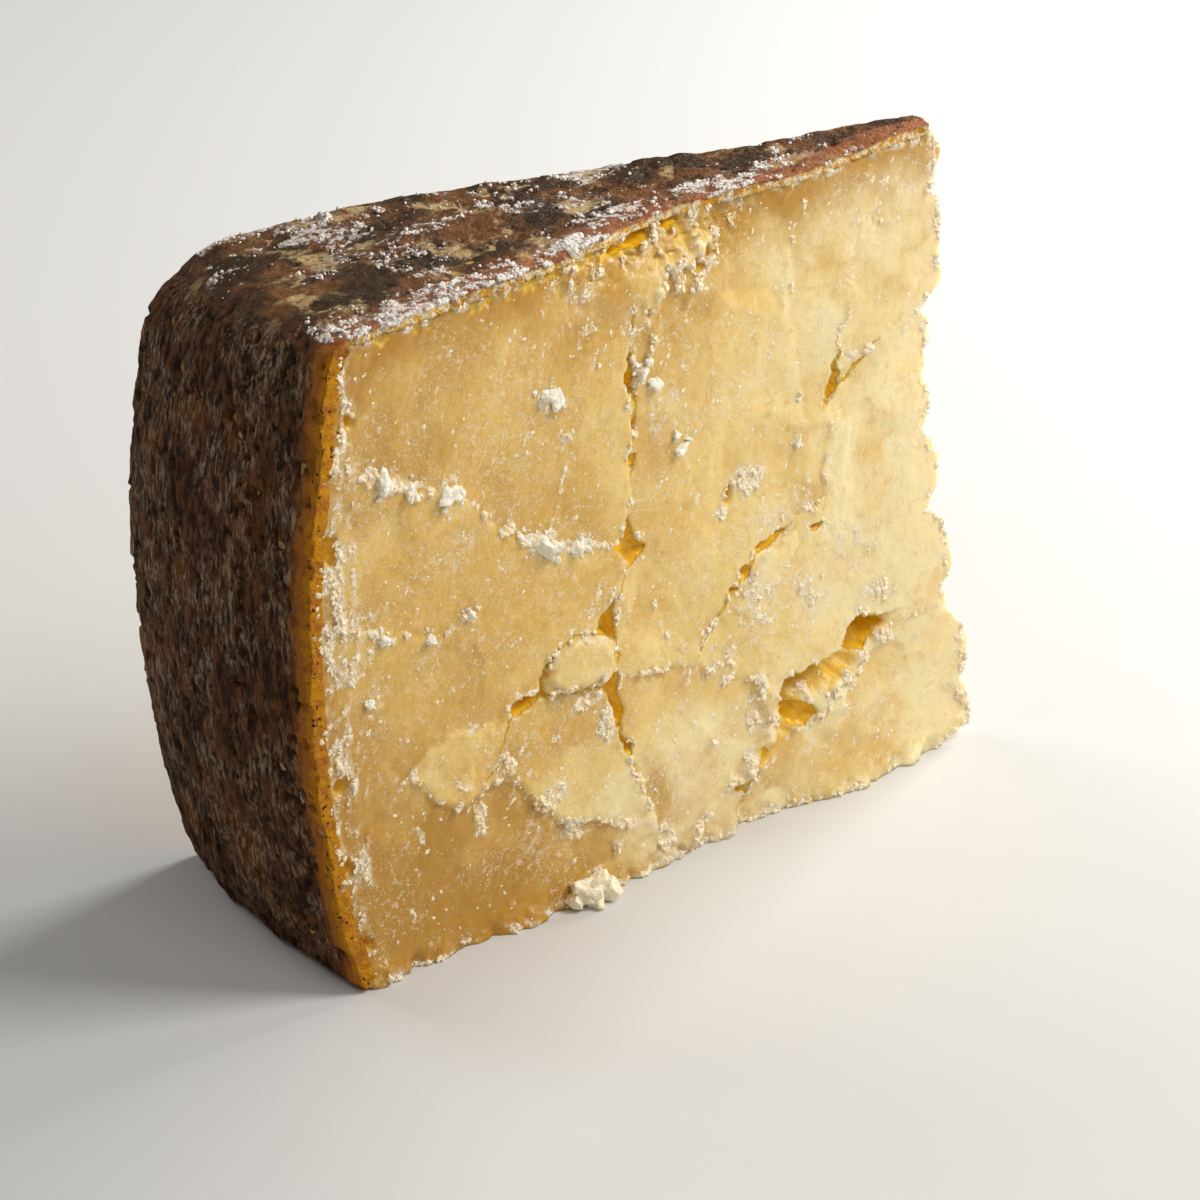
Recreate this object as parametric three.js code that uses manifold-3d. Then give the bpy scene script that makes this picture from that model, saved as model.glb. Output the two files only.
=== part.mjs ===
// Aged cheddar: one wedge from half of a small truckle, standing on its flat cut base.
//
// Millimetres, +Z up. The broken front cut faces -Y, the thin tip points along +X and the
// rind of the wheel's side faces -X. The origin is the middle of the base's bounding box.
//
// Places on the front cut are given as [fromTip, rise]: the distance from the tip edge
// towards the rind, and the height above the base.

import * as THREE from 'three';
import { ImprovedNoise } from 'three/addons/math/ImprovedNoise.js';
import { mergeVertices } from 'three/addons/utils/BufferGeometryUtils.js';
import Module from 'manifold-3d';

// ---------------------------------------------------------------- driving dimensions

const height = 84;
const wheelRadius = 100; // at the top and bottom edges of the side
const sideSwell = 6; // how much wider the wheel is at half height
const axisBeyondTip = 5; // from the tip edge to the wheel's axis
const wedgeAngle = THREE.MathUtils.degToRad(24.5);
const tipThickness = 3;
const shoulderRadius = { front: 2, back: 9 };
const footRadius = 1.5;

// The top falls a little from the front cut to the back cut, and more towards the back of
// the rind. Each fall starts or is complete at a share of the way from tip to rind.
const backFall = { fall: 1, completeAt: 0.25 };
const cornerFall = { fall: 2.9, startsAt: 0.7 };

// Relief of the rind, and how quickly it fades away from the side and the top
const rindRelief = { size: 0.7, grain: 6, fade: 8, tipCalm: 1 / 6 };

// Relief of the cuts: waves, and plates of curd that stand in or out from each other
const pasteRelief = { size: 0.5, grain: 9 };
const curdPlate = { size: 11, step: 0.8 };
const cutSeed = { front: 0, back: 40 };

// Relief takes at most this share of the wedge's thickness, and may stand out further
const deepestShare = 0.4;
const furtherOut = 3;

// The box of small faces that is shaped into the wedge
const faceRows = { alongCut: 38, throughWedge: 8, upward: 33 };

// The front cut leans back under the rind's edge where a piece has torn away
const tornEdge = { fromTip: 42, halfWidth: 22, depth: 2.8, drop: 8 };

// The base spreads forward in two places
const footFlares = [
  { fromTip: 57, halfWidth: 22, reach: 1.3, tall: 6 },
  { fromTip: 17, halfWidth: 13, reach: 2.6, tall: 8 },
];
const footScallop = { spacing: 5.5, reach: 1.1, tall: 3.5, least: 0.6, uneven: 0.8 };
const backFootShare = 0.5; // the back cut's foot spreads half as far
const tipUnderside = { length: 6, rise: 2 };

// Rounded lobes that the tip edge has broken into, from the top down
const tipLobes = [
  { rise: 79.5, halfHeight: 5, reach: 1.1 },
  { rise: 69.8, halfHeight: 4.5, reach: 1.9 },
  { rise: 64.2, halfHeight: 3.5, reach: 1.2 },
  { rise: 56, halfHeight: 5, reach: -0.5 },
  { rise: 47, halfHeight: 3.5, reach: -0.5 },
  { rise: 38, halfHeight: 5, reach: 0.5 },
  { rise: 26, halfHeight: 4.5, reach: 2.7 },
  { rise: 19.4, halfHeight: 2.5, reach: 1.9 },
  { rise: 12.2, halfHeight: 4.5, reach: 5 },
  { rise: 4.4, halfHeight: 4, reach: 5.2 },
];
const lobeRoundness = 1.7;
const deepestNotch = -2;
const tipRelief = { size: 0.5, grain: 4, acrossGrain: 1 / 3, fade: 6 };
const tipBevel = { highestAt: 0.4, slope: 1.2 }; // across the tip, 0 front and 1 back

// The lower right block has dropped back from the long crack above it
const sunkenBlock = { depth: 2.6, fade: 9, top: 24 };

// Cracks in the front cut. Each path point is [fromTip, rise, width].
const cracks = [
  {
    name: 'main crack, upper part',
    depth: 4,
    path: [
      [49.4, 73.4, 0.4],
      [49.6, 68.4, 1.0],
      [50.3, 65.4, 1.7],
      [49.1, 61.9, 0.7],
      [49.8, 58.5, 0.8],
      [49.9, 53.7, 0.5],
    ],
  },
  {
    name: 'main crack, lower part',
    depth: 5.5,
    path: [
      [50.6, 49.8, 0.8],
      [51.0, 46.6, 2.3],
      [50.6, 43.9, 1.9],
      [51.6, 40.7, 1.0],
      [53.4, 38.5, 1.0],
      [55.4, 36.0, 2.7],
      [57.8, 33.8, 2.4],
    ],
  },
  {
    name: 'crack down the left of the loose chip',
    depth: 5,
    path: [
      [59.5, 34.2, 0.6],
      [63.6, 33.1, 0.8],
      [66.0, 30.9, 2.6],
      [68.6, 28.8, 2.8],
      [71.2, 26.2, 0.8],
      [72.6, 22.6, 0.4],
    ],
  },
  {
    name: 'crack down the right of the loose chip',
    depth: 5,
    path: [
      [54.3, 31.2, 0.6],
      [54.7, 28.4, 2.4],
      [54.9, 26.3, 2.0],
      [53.6, 23.2, 1.5],
      [52.9, 19.6, 1.2],
      [52.3, 16.2, 0.4],
    ],
  },
  {
    name: 'slanting crack',
    depth: 4.5,
    path: [
      [24.4, 38.7, 0.6],
      [28.2, 38.0, 1.7],
      [31.4, 36.5, 1.2],
      [33.2, 34.8, 1.9],
      [35.4, 32.0, 1.4],
      [37.8, 30.0, 1.8],
      [40.0, 28.2, 0.8],
      [41.2, 24.6, 1.4],
      [41.6, 22.4, 0.4],
    ],
  },
  {
    name: 'short crack near the tip',
    depth: 3.5,
    path: [
      [15.8, 61.2, 0.6],
      [16.0, 57.4, 1.4],
      [16.4, 54.0, 2.2],
      [17.8, 51.2, 0.8],
    ],
  },
  {
    name: 'long hollow above the sunken block',
    depth: 7.5,
    path: [
      [9.8, 21.0, 2.0],
      [13.0, 19.2, 5.4],
      [16.6, 17.4, 3.6],
      [20.0, 17.2, 3.0],
      [23.2, 16.2, 3.6],
      [25.8, 12.6, 3.6],
      [28.0, 9.8, 2.4],
      [30.6, 7.6, 1.2],
    ],
  },
  {
    name: 'thin crack down to the foot',
    depth: 3.5,
    path: [
      [31.8, 8.8, 1.0],
      [35.2, 6.7, 1.5],
      [38.0, 4.2, 1.2],
      [41.0, 0.4, 1.4],
    ],
  },
];

// Cracks in the back cut, given the same way
const backCracks = [
  {
    name: 'main crack of the back cut',
    depth: 5,
    path: [
      [42.0, 66.0, 0.5],
      [43.4, 58.6, 1.5],
      [42.2, 51.0, 0.9],
      [44.6, 44.2, 2.3],
      [48.8, 39.0, 1.2],
      [54.6, 35.2, 2.5],
      [61.0, 31.8, 0.6],
    ],
  },
  {
    name: 'lower crack of the back cut',
    depth: 5,
    path: [
      [70.8, 27.4, 0.6],
      [67.0, 22.6, 2.2],
      [66.4, 17.4, 1.3],
      [62.8, 11.0, 0.6],
    ],
  },
  {
    name: 'slanting crack of the back cut',
    depth: 3.5,
    path: [
      [20.0, 46.6, 0.6],
      [23.4, 41.0, 1.8],
      [28.6, 37.4, 1.2],
      [31.8, 31.4, 0.5],
    ],
  },
];
const crackReach = 4; // how far in front of the cut each crack's blade starts
const crackTaper = 0.75; // share of the width that is lost at full depth

// Small hollows: [fromTip, rise], width across and height
const hollows = [
  { at: [40.3, 83.2], wide: 3.4, tall: 2.6 },
  { at: [45.2, 82.6], wide: 5.2, tall: 3.0 },
  { at: [35.6, 79.6], wide: 2.2, tall: 2.2 },
  { at: [93.6, 73.7], wide: 2.0, tall: 3.2 },
  { at: [96.4, 58.1], wide: 2.6, tall: 4.2 },
  { at: [96.2, 27.5], wide: 2.6, tall: 3.0 },
  { at: [95.6, 16.8], wide: 2.0, tall: 2.8 },
  { at: [94.4, 5.6], wide: 2.8, tall: 2.4 },
  { at: [34.4, 44.9], wide: 2.4, tall: 3.4 },
  { at: [12.4, 55.9], wide: 4.0, tall: 1.8 },
];
const hollowDepth = 1.6;
const hollowLength = 2 * hollowDepth; // half of each hollow's ball lies in front of the cut

// Salt crystals and crumbs that stand out of the front cut
const crystals = [
  { at: [87.6, 64.3], wide: 2.2, tall: 2.2 },
  { at: [83.4, 62.0], wide: 1.9, tall: 2.4 },
  { at: [78.4, 59.8], wide: 2.7, tall: 2.5 },
  { at: [67.1, 49.8], wide: 1.5, tall: 1.9 },
  { at: [63.7, 48.4], wide: 3.8, tall: 3.4 },
  { at: [59.3, 46.2], wide: 3.2, tall: 2.6 },
  { at: [61.3, 66.2], wide: 1.9, tall: 3.9 },
  { at: [48.1, 65.6], wide: 2.8, tall: 3.2 },
  { at: [46.0, 63.6], wide: 2.0, tall: 2.8 },
  { at: [59.2, 67.6], wide: 2.2, tall: 2.6 },
  { at: [41.9, 53.9], wide: 2.0, tall: 2.6 },
  { at: [89.1, 45.0], wide: 1.9, tall: 1.8 },
  { at: [91.4, 36.8], wide: 1.7, tall: 2.2 },
  { at: [82.3, 41.9], wide: 1.8, tall: 1.7 },
  { at: [76.0, 43.1], wide: 2.0, tall: 1.8 },
];
const crystalProud = 0.55; // how far a crystal's middle stands out of the cut

// Crumbs along broken banks: a path and how many crumbs it carries
const crumbRows = [
  { path: [[31.0, 20.0], [27.6, 17.2], [28.6, 13.2], [31.6, 9.6]], count: 7, size: 2.8 },
  { path: [[56.6, 27.6], [60.2, 28.4], [64.4, 28.0]], count: 4, size: 1.6 },
  { path: [[50.6, 14.6], [48.4, 9.0], [46.2, 3.6]], count: 5, size: 1.5 },
  { path: [[29.6, 39.6], [35.6, 34.8], [39.6, 30.8]], count: 5, size: 1.7 },
  { path: [[73.6, 21.6], [79.0, 19.6], [84.6, 17.4]], count: 5, size: 1.7 },
];
const crumbShape = { smallest: 0.75, uneven: 0.5, flatness: 0.85 }; // as shares of a row's size

// The broken lump that clings to the foot of the front cut
const footLumps = [
  { at: [59.6, 1.7], wide: 4.8, tall: 4.4, proud: 1.5, deep: 4.6 },
  { at: [57.0, 1.3], wide: 3.6, tall: 3.2, proud: 2.0, deep: 3.8 },
  { at: [62.4, 1.0], wide: 3.4, tall: 2.6, proud: 0.8, deep: 3.4 },
];

const wedgeSeed = 41;
const lumpRelief = { size: 0.16, grain: 0.5 }; // as shares of a lump's own radius
const largeLump = 3.3; // wider lumps get four times as many faces

const paste = new THREE.MeshStandardMaterial({ color: 0xe0bc66, roughness: 0.55, metalness: 0 });

// ---------------------------------------------------------------- small helpers

const { clamp, lerp, smoothstep } = THREE.MathUtils;
const perlin = new ImprovedNoise();

/** Rough noise between about -1 and 1, with finer and weaker copies of itself added. */
function roughNoise(x, y, z) {
  const octaves = 3;
  let sum = 0;
  for (let octave = 0; octave < octaves; octave += 1) {
    const scale = 2 ** octave;
    sum += perlin.noise(x * scale, y * scale, z * scale) / scale;
  }
  return sum;
}

/** A smooth hump that is 1 at the middle and 0 from halfWidth outwards. */
function hump(value, middle, halfWidth) {
  const away = clamp(Math.abs(value - middle) / halfWidth, 0, 1);
  return 1 - smoothstep(away, 0, 1);
}

/** The nearest place on a path of [fromTip, rise] points: its distance, and the side. */
function nearestOnPath(fromTip, rise, path) {
  let best = { distance: Infinity, below: false };
  for (let index = 1; index < path.length; index += 1) {
    const [startU, startZ] = path[index - 1];
    const [endU, endZ] = path[index];
    const stepU = endU - startU;
    const stepZ = endZ - startZ;
    const along = (fromTip - startU) * stepU + (rise - startZ) * stepZ;
    const held = clamp(along / (stepU ** 2 + stepZ ** 2), 0, 1);
    const awayU = fromTip - startU - held * stepU;
    const awayZ = rise - startZ - held * stepZ;
    const distance = Math.hypot(awayU, awayZ);
    if (distance < best.distance) {
      best = { distance, below: stepU * awayZ - stepZ * awayU < 0 };
    }
  }
  return best;
}

/** The point at a share of the way along a path of [fromTip, rise] points. */
function pointOnPath(path, share) {
  const place = share * (path.length - 1);
  const index = Math.min(Math.floor(place), path.length - 2);
  const step = place - index;
  return [lerp(path[index][0], path[index + 1][0], step), lerp(path[index][1], path[index + 1][1], step)];
}

// ---------------------------------------------------------------- the plain wedge

/** The wheel's radius at a height: widest half way up. */
function wheelRadiusAt(rise) {
  const fromMiddle = (2 * rise) / height - 1;
  return wheelRadius + sideSwell * (1 - fromMiddle ** 2);
}

/** A point on the wheel's side: through is 0 on the front cut and 1 on the back cut. */
function sidePoint(through, rise) {
  const radius = wheelRadiusAt(rise);
  const cutStart = new THREE.Vector2(axisBeyondTip, tipThickness);
  const cutDirection = new THREE.Vector2(Math.cos(wedgeAngle), Math.sin(wedgeAngle));
  const toStart = cutStart.dot(cutDirection);
  const cutLength = Math.sqrt(toStart ** 2 - cutStart.lengthSq() + radius ** 2) - toStart;
  const backEnd = cutStart.clone().addScaledVector(cutDirection, cutLength);
  const angle = through * backEnd.angle();
  return { fromTip: radius * Math.cos(angle) - axisBeyondTip, back: radius * Math.sin(angle) };
}

/** How far the top lies below the full height. */
function topFall(outward, through) {
  const general = backFall.fall * Math.min(1, outward / backFall.completeAt);
  const towardsCorner = (outward - cornerFall.startsAt) / (1 - cornerFall.startsAt);
  return through * (general + cornerFall.fall * clamp(towardsCorner, 0, 1));
}

/** Rounds the edge between the wheel's side and its top or base. */
function roundEdge(point, edgeHeight, radius, upward) {
  const fromAxis = Math.hypot(point.fromTip + axisBeyondTip, point.back);
  const inFromSide = radius - (wheelRadiusAt(point.rise) - fromAxis);
  const inFromEdge = radius - (edgeHeight - point.rise) * upward;
  if (inFromSide <= 0 || inFromEdge <= 0) {
    return;
  }
  const squareToRound = Math.max(inFromSide, inFromEdge) / Math.hypot(inFromSide, inFromEdge);
  const pulledIn = inFromSide * (1 - squareToRound);
  const shrink = (fromAxis - pulledIn) / fromAxis;
  point.fromTip = (point.fromTip + axisBeyondTip) * shrink - axisBeyondTip;
  point.back *= shrink;
  point.rise -= inFromEdge * (1 - squareToRound) * upward;
}

// ---------------------------------------------------------------- relief

/**
 * The height step of the curd plate that a place on a cut belongs to. Each plate is the
 * region nearest to its own seed, which noise shifts from the crossing of a regular grid.
 */
function plateStep(fromTip, rise, seed) {
  let nearest = Infinity;
  let step = 0;
  const column = Math.round(fromTip / curdPlate.size);
  const row = Math.round(rise / curdPlate.size);
  for (let i = column - 1; i <= column + 1; i += 1) {
    for (let j = row - 1; j <= row + 1; j += 1) {
      const shiftU = perlin.noise(i * 1.7, j * 1.3, seed + 0.5);
      const shiftZ = perlin.noise(i * 1.3, j * 1.9, seed + 7.5);
      const seedU = (i + shiftU) * curdPlate.size;
      const seedZ = (j + shiftZ) * curdPlate.size;
      const distance = Math.hypot(fromTip - seedU, rise - seedZ);
      if (distance < nearest) {
        nearest = distance;
        step = curdPlate.step * shiftU;
      }
    }
  }
  return step;
}

/** How far the broken paste of a cut stands in (+) or out (-) at a place. */
function pasteRoughness(fromTip, rise, seed) {
  const { size, grain } = pasteRelief;
  return size * roughNoise(fromTip / grain, rise / grain, seed) + plateStep(fromTip, rise, seed);
}

/** The lower right block's drop behind the long hollow. */
function sunkenBlockDepth(fromTip, rise) {
  const hollow = cracks.find((crack) => crack.name.startsWith('long hollow'));
  const place = nearestOnPath(fromTip, rise, hollow.path);
  const inBlock = place.below && rise < sunkenBlock.top ? 1 : 0;
  return inBlock * sunkenBlock.depth * Math.exp(-place.distance / sunkenBlock.fade);
}

/** Scallops along the foot of a cut, strongest at the base. */
function footReach(fromTip, rise) {
  let reach = 0;
  for (const flare of footFlares) {
    const low = clamp(1 - rise / flare.tall, 0, 1);
    reach += flare.reach * low ** 2 * hump(fromTip, flare.fromTip, flare.halfWidth);
  }
  const low = clamp(1 - rise / footScallop.tall, 0, 1);
  const along = fromTip / footScallop.spacing;
  const wave = Math.abs(Math.sin(Math.PI * along));
  const uneven = footScallop.least + footScallop.uneven * Math.abs(perlin.noise(along, 0.5, 2.5));
  return reach + footScallop.reach * low * wave * uneven;
}

/** How far the front cut stands in (+) or out (-) from its plane. */
function frontRelief(fromTip, rise) {
  const nearTop = smoothstep(rise, height - tornEdge.drop, height);
  const torn = nearTop * hump(fromTip, tornEdge.fromTip, tornEdge.halfWidth);
  return (
    pasteRoughness(fromTip, rise, cutSeed.front) +
    tornEdge.depth * torn +
    sunkenBlockDepth(fromTip, rise) -
    footReach(fromTip, rise)
  );
}

/** How far the back cut stands in (-) or out (+) from its plane. */
function backRelief(fromTip, rise) {
  const foot = footReach(fromTip + footScallop.spacing / 3, rise);
  return pasteRoughness(fromTip, rise, cutSeed.back) + backFootShare * foot;
}

/** How far the tip edge reaches past its plane at a height. */
function tipReach(rise, through) {
  let reach = deepestNotch;
  for (const lobe of tipLobes) {
    const away = (rise - lobe.rise) / lobe.halfHeight;
    reach = Math.max(reach, lobe.reach - lobeRoundness * away ** 2);
  }
  const { size, grain, acrossGrain } = tipRelief;
  const uneven = size * perlin.noise(rise / grain, through / acrossGrain, 5.5);
  return reach + uneven - Math.abs(through - tipBevel.highestAt) * tipBevel.slope;
}

/** How far the rind stands proud of the wheel's smooth form. */
function rindReliefAt(fromTip, back, rise) {
  const { size, grain } = rindRelief;
  return size * roughNoise(fromTip / grain, back / grain, rise / grain);
}

// ---------------------------------------------------------------- the shaped body

/** Moves one corner of the box of small faces to its place on the wedge. */
function shapeVertex(boxPoint) {
  const outward = 0.5 - boxPoint.x;
  const through = boxPoint.y + 0.5;
  const upward = boxPoint.z + 0.5;

  const top = height - topFall(outward, through);
  const rise = upward * top;
  const side = sidePoint(through, rise);
  const point = {
    fromTip: outward * side.fromTip,
    back: lerp(tipThickness * through, side.back, outward),
    rise,
  };
  const thickness = lerp(tipThickness, sidePoint(1, rise).back, outward);

  const shoulder = lerp(shoulderRadius.front, shoulderRadius.back, through);
  roundEdge(point, top, shoulder, 1);
  roundEdge(point, 0, footRadius, -1);

  // Rind: the side moves in or out from the axis, the top moves up or down.
  const rough = rindReliefAt(point.fromTip, point.back, point.rise);
  const onSide = outward ** rindRelief.fade;
  const onTop = upward ** rindRelief.fade;
  const swell = 1 + (rough * onSide) / wheelRadius;
  point.fromTip = (point.fromTip + axisBeyondTip) * swell - axisBeyondTip;
  point.back *= swell;
  const lifted = rough * onTop * Math.min(1, outward / rindRelief.tipCalm);

  // Cuts: relief fades towards the middle of the wedge, and never folds it over.
  const most = deepestShare * thickness;
  const frontDepth = clamp(frontRelief(point.fromTip, rise), -most - furtherOut, most);
  const frontPush = frontDepth * (1 - through) ** 2;
  const backPush = clamp(backRelief(point.fromTip, rise), -most, most + furtherOut) * through ** 2;
  const tipPush = tipReach(rise, through) * (1 - outward) ** tipRelief.fade;

  // Only the tip's underside is chipped; the rest of the base stays flat.
  const chipped = outward === 0 ? hump(point.fromTip, 0, tipUnderside.length) : 0;
  const underside = upward === 0 ? tipUnderside.rise * chipped : 0;

  const x = tipPush - point.fromTip;
  const y = point.back + frontPush + backPush;
  const z = upward === 0 ? underside : point.rise + lifted;
  return new THREE.Vector3(x, y, z);
}

/** Drops everything but positions and joins the shared corners. */
function onlyPositions(geometry) {
  geometry.deleteAttribute('normal');
  geometry.deleteAttribute('uv');
  return mergeVertices(geometry, 1e-4);
}

/** Moves every point of a geometry by a function. */
function moveVertices(geometry, move) {
  const positions = geometry.attributes.position;
  const point = new THREE.Vector3();
  for (let index = 0; index < positions.count; index += 1) {
    point.fromBufferAttribute(positions, index);
    const moved = move(point);
    positions.setXYZ(index, moved.x, moved.y, moved.z);
  }
  return geometry;
}

/** The wedge with its broken faces, before it is cracked. */
function wedgeBody() {
  const { alongCut, throughWedge, upward } = faceRows;
  const box = onlyPositions(new THREE.BoxGeometry(1, 1, 1, alongCut, throughWedge, upward));
  return moveVertices(box, shapeVertex);
}

// ---------------------------------------------------------------- cracks, crystals, crumbs

/** A tapered blade along a path, wide in front of the cut and thin at its depth. */
function crackBlade({ path, depth }) {
  const positions = [];
  path.forEach(([fromTip, rise, width], index) => {
    const before = path[Math.max(index - 1, 0)];
    const after = path[Math.min(index + 1, path.length - 1)];
    const along = new THREE.Vector2(before[0] - after[0], after[1] - before[1]).normalize();
    for (const y of [-crackReach, depth]) {
      const half = (width / 2) * (1 - (crackTaper * y) / depth);
      positions.push(-fromTip - along.y * half, y, rise + along.x * half);
      positions.push(-fromTip + along.y * half, y, rise - along.x * half);
    }
  });

  // Corners of each section: 0 left front, 1 right front, 2 left deep, 3 right deep
  const ring = [0, 1, 3, 2];
  const indices = [0, 3, 1, 0, 2, 3];
  for (let section = 0; section < path.length - 1; section += 1) {
    const near = section * ring.length;
    const far = near + ring.length;
    ring.forEach((corner, place) => {
      const next = ring[(place + 1) % ring.length];
      indices.push(near + corner, near + next, far + next);
      indices.push(near + corner, far + next, far + corner);
    });
  }
  const last = (path.length - 1) * ring.length;
  indices.push(last, last + 1, last + 3, last, last + 3, last + 2);

  const geometry = new THREE.BufferGeometry();
  geometry.setAttribute('position', new THREE.Float32BufferAttribute(positions, 3));
  geometry.setIndex(indices);
  return geometry;
}

/** The blade of a crack in the back cut, turned into that cut from the front one. */
function backCrackBlade({ path, depth }) {
  const mirrored = path.map(([fromTip, rise, width]) => [-fromTip, rise, width]);
  const blade = crackBlade({ path: mirrored, depth });
  blade.rotateZ(Math.PI - wedgeAngle);
  blade.translate(0, tipThickness, 0);
  return blade;
}

/** A rough little lump, no lower than the base, at a place on the front cut. */
function lump({ at, wide, tall }, deep, y) {
  const [fromTip, rise] = at;
  const splits = wide > largeLump ? 1 : 0;
  const sphere = onlyPositions(new THREE.IcosahedronGeometry(1, splits));
  const turn = new THREE.Euler(fromTip, rise, wide);
  return moveVertices(sphere, (point) => {
    point.applyEuler(turn);
    const spot = point.clone().divideScalar(lumpRelief.grain);
    const uneven = 1 + lumpRelief.size * perlin.noise(spot.x + fromTip, spot.y, spot.z + rise);
    const x = -fromTip + (point.x * uneven * wide) / 2;
    const z = Math.max(rise + (point.z * uneven * tall) / 2, 0);
    return new THREE.Vector3(x, y + (point.y * uneven * deep) / 2, z);
  });
}

/** Crumbs scattered evenly along a row's path. */
function crumbsOf({ path, count, size }) {
  const crumbs = [];
  for (let index = 0; index < count; index += 1) {
    const [fromTip, rise] = pointOnPath(path, (index + 0.5) / count);
    const { smallest, uneven, flatness } = crumbShape;
    const wide = size * (smallest + uneven * THREE.MathUtils.seededRandom());
    const shift = THREE.MathUtils.seededRandom() - 0.5;
    crumbs.push({ at: [fromTip + shift, rise + shift], wide, tall: wide * flatness });
  }
  return crumbs;
}

// ---------------------------------------------------------------- joining it all

const wasm = await Module();
wasm.setup();

/** A closed solid from a geometry with shared corners. */
function toSolid(geometry) {
  const vertProperties = Float32Array.from(geometry.attributes.position.array);
  const triVerts = Uint32Array.from(geometry.index.array);
  return new wasm.Manifold(new wasm.Mesh({ numProp: 3, vertProperties, triVerts }));
}

/** A geometry from a closed solid. */
function toGeometry(solid) {
  const mesh = solid.getMesh();
  const geometry = new THREE.BufferGeometry();
  geometry.setAttribute('position', new THREE.Float32BufferAttribute(mesh.vertProperties, mesh.numProp));
  geometry.setIndex(new THREE.Uint32BufferAttribute(mesh.triVerts, 1));
  return geometry;
}

/** The whole cheese: the wedge, less its cracks and hollows, plus what stands out of it. */
function cheeseGeometry() {
  THREE.MathUtils.seededRandom(wedgeSeed);
  let solid = toSolid(wedgeBody());
  const surface = ([fromTip, rise]) => frontRelief(fromTip, rise);

  for (const crack of cracks) {
    solid = solid.subtract(toSolid(crackBlade(crack)));
  }
  for (const crack of backCracks) {
    solid = solid.subtract(toSolid(backCrackBlade(crack)));
  }
  for (const hollow of hollows) {
    solid = solid.subtract(toSolid(lump(hollow, hollowLength, surface(hollow.at))));
  }
  for (const crystal of crystals) {
    solid = solid.add(toSolid(lump(crystal, crystal.wide, surface(crystal.at) - crystalProud)));
  }
  for (const crumb of crumbRows.flatMap(crumbsOf)) {
    solid = solid.add(toSolid(lump(crumb, crumb.wide, surface(crumb.at))));
  }
  for (const footLump of footLumps) {
    solid = solid.add(toSolid(lump(footLump, footLump.deep, surface(footLump.at) - footLump.proud)));
  }
  return toGeometry(solid);
}

/** Moves a geometry so that the origin is the middle of its base. */
function centreOnBase(geometry) {
  geometry.computeBoundingBox();
  const middle = geometry.boundingBox.getCenter(new THREE.Vector3());
  geometry.translate(-middle.x, -middle.y, -geometry.boundingBox.min.z);
  return geometry;
}

const cheese = new THREE.Mesh(centreOnBase(cheeseGeometry()), paste);
cheese.name = 'cheese';

const agedCheddar = new THREE.Group();
agedCheddar.add(cheese);

export default agedCheddar;
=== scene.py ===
"""Looks of an aged cheddar wedge: broken golden paste, a brown mouldy rind, white crystals.

Shapes are worked out in millimetres from the wedge's own sizes, then written to the meshes
in metres. A place on a cut is (from_tip, rise): the distance from the tip edge towards the
rind, and the height above the base. Relief is positive into the cheese.
"""

import logging
import math
from dataclasses import dataclass, field, replace
from enum import Enum
from typing import Callable

import bpy
import numpy as np
from mathutils import Matrix, Vector


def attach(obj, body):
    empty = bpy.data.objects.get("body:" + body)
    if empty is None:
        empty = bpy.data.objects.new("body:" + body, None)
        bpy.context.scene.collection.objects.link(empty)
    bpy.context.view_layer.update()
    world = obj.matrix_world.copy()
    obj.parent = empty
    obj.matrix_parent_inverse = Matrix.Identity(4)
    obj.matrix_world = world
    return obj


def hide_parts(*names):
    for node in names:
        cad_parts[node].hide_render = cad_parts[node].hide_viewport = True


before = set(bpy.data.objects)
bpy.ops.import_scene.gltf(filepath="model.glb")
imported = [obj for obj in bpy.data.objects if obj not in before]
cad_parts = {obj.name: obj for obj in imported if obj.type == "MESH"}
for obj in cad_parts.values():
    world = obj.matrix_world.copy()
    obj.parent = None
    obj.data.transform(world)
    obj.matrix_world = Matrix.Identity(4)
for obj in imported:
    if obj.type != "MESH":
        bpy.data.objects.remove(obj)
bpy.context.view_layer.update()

LOG = logging.getLogger("aged_cheddar")
MM = 0.001
BODY = "root"
NODE = "cheese"

TINY = 1e-9

# The lattice's hash: 32-bit words, a prime for each coordinate and the seed, and a mixer.
WORD = 0xFFFFFFFF
HALF_WORD = 16
MIXER = 0x45D9F3B
PRIMES = (73856093, 19349663, 83492791, 40503)

Array = np.ndarray
PathPoint = tuple[float, ...]
Shaper = Callable[[Array], tuple[Array, dict[str, Array]]]


class Slot(Enum):
    """The record's material slots."""

    PASTE = "paste"
    RIND = "rind"
    CRYSTAL = "crystal"


class Side(Enum):
    """The sides of the box of small faces, as (axis, direction) in the box's own space."""

    RIM = (0, -1)
    TIP = (0, 1)
    FRONT = (1, -1)
    BACK = (1, 1)
    BASE = (2, -1)
    TOP = (2, 1)


# ---------------------------------------------------------------- noise and shaping curves


def lattice_value(ix: Array, iy: Array, iz: Array, seed: int) -> Array:
    """Gives a repeatable value between -1 and 1 for each whole-numbered place.

    Args:
        ix, iy, iz: Whole-numbered coordinates, as integer arrays.
        seed: Which of many such fields is read.

    Returns:
        One value for each place.
    """
    mixed = ((ix * PRIMES[0]) ^ (iy * PRIMES[1]) ^ (iz * PRIMES[2]) ^ (seed * PRIMES[3])) & WORD
    for _ in range(2):
        mixed = ((mixed ^ (mixed >> HALF_WORD)) * MIXER) & WORD
    mixed = mixed ^ (mixed >> HALF_WORD)
    return mixed / (WORD / 2) - 1.0


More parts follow.
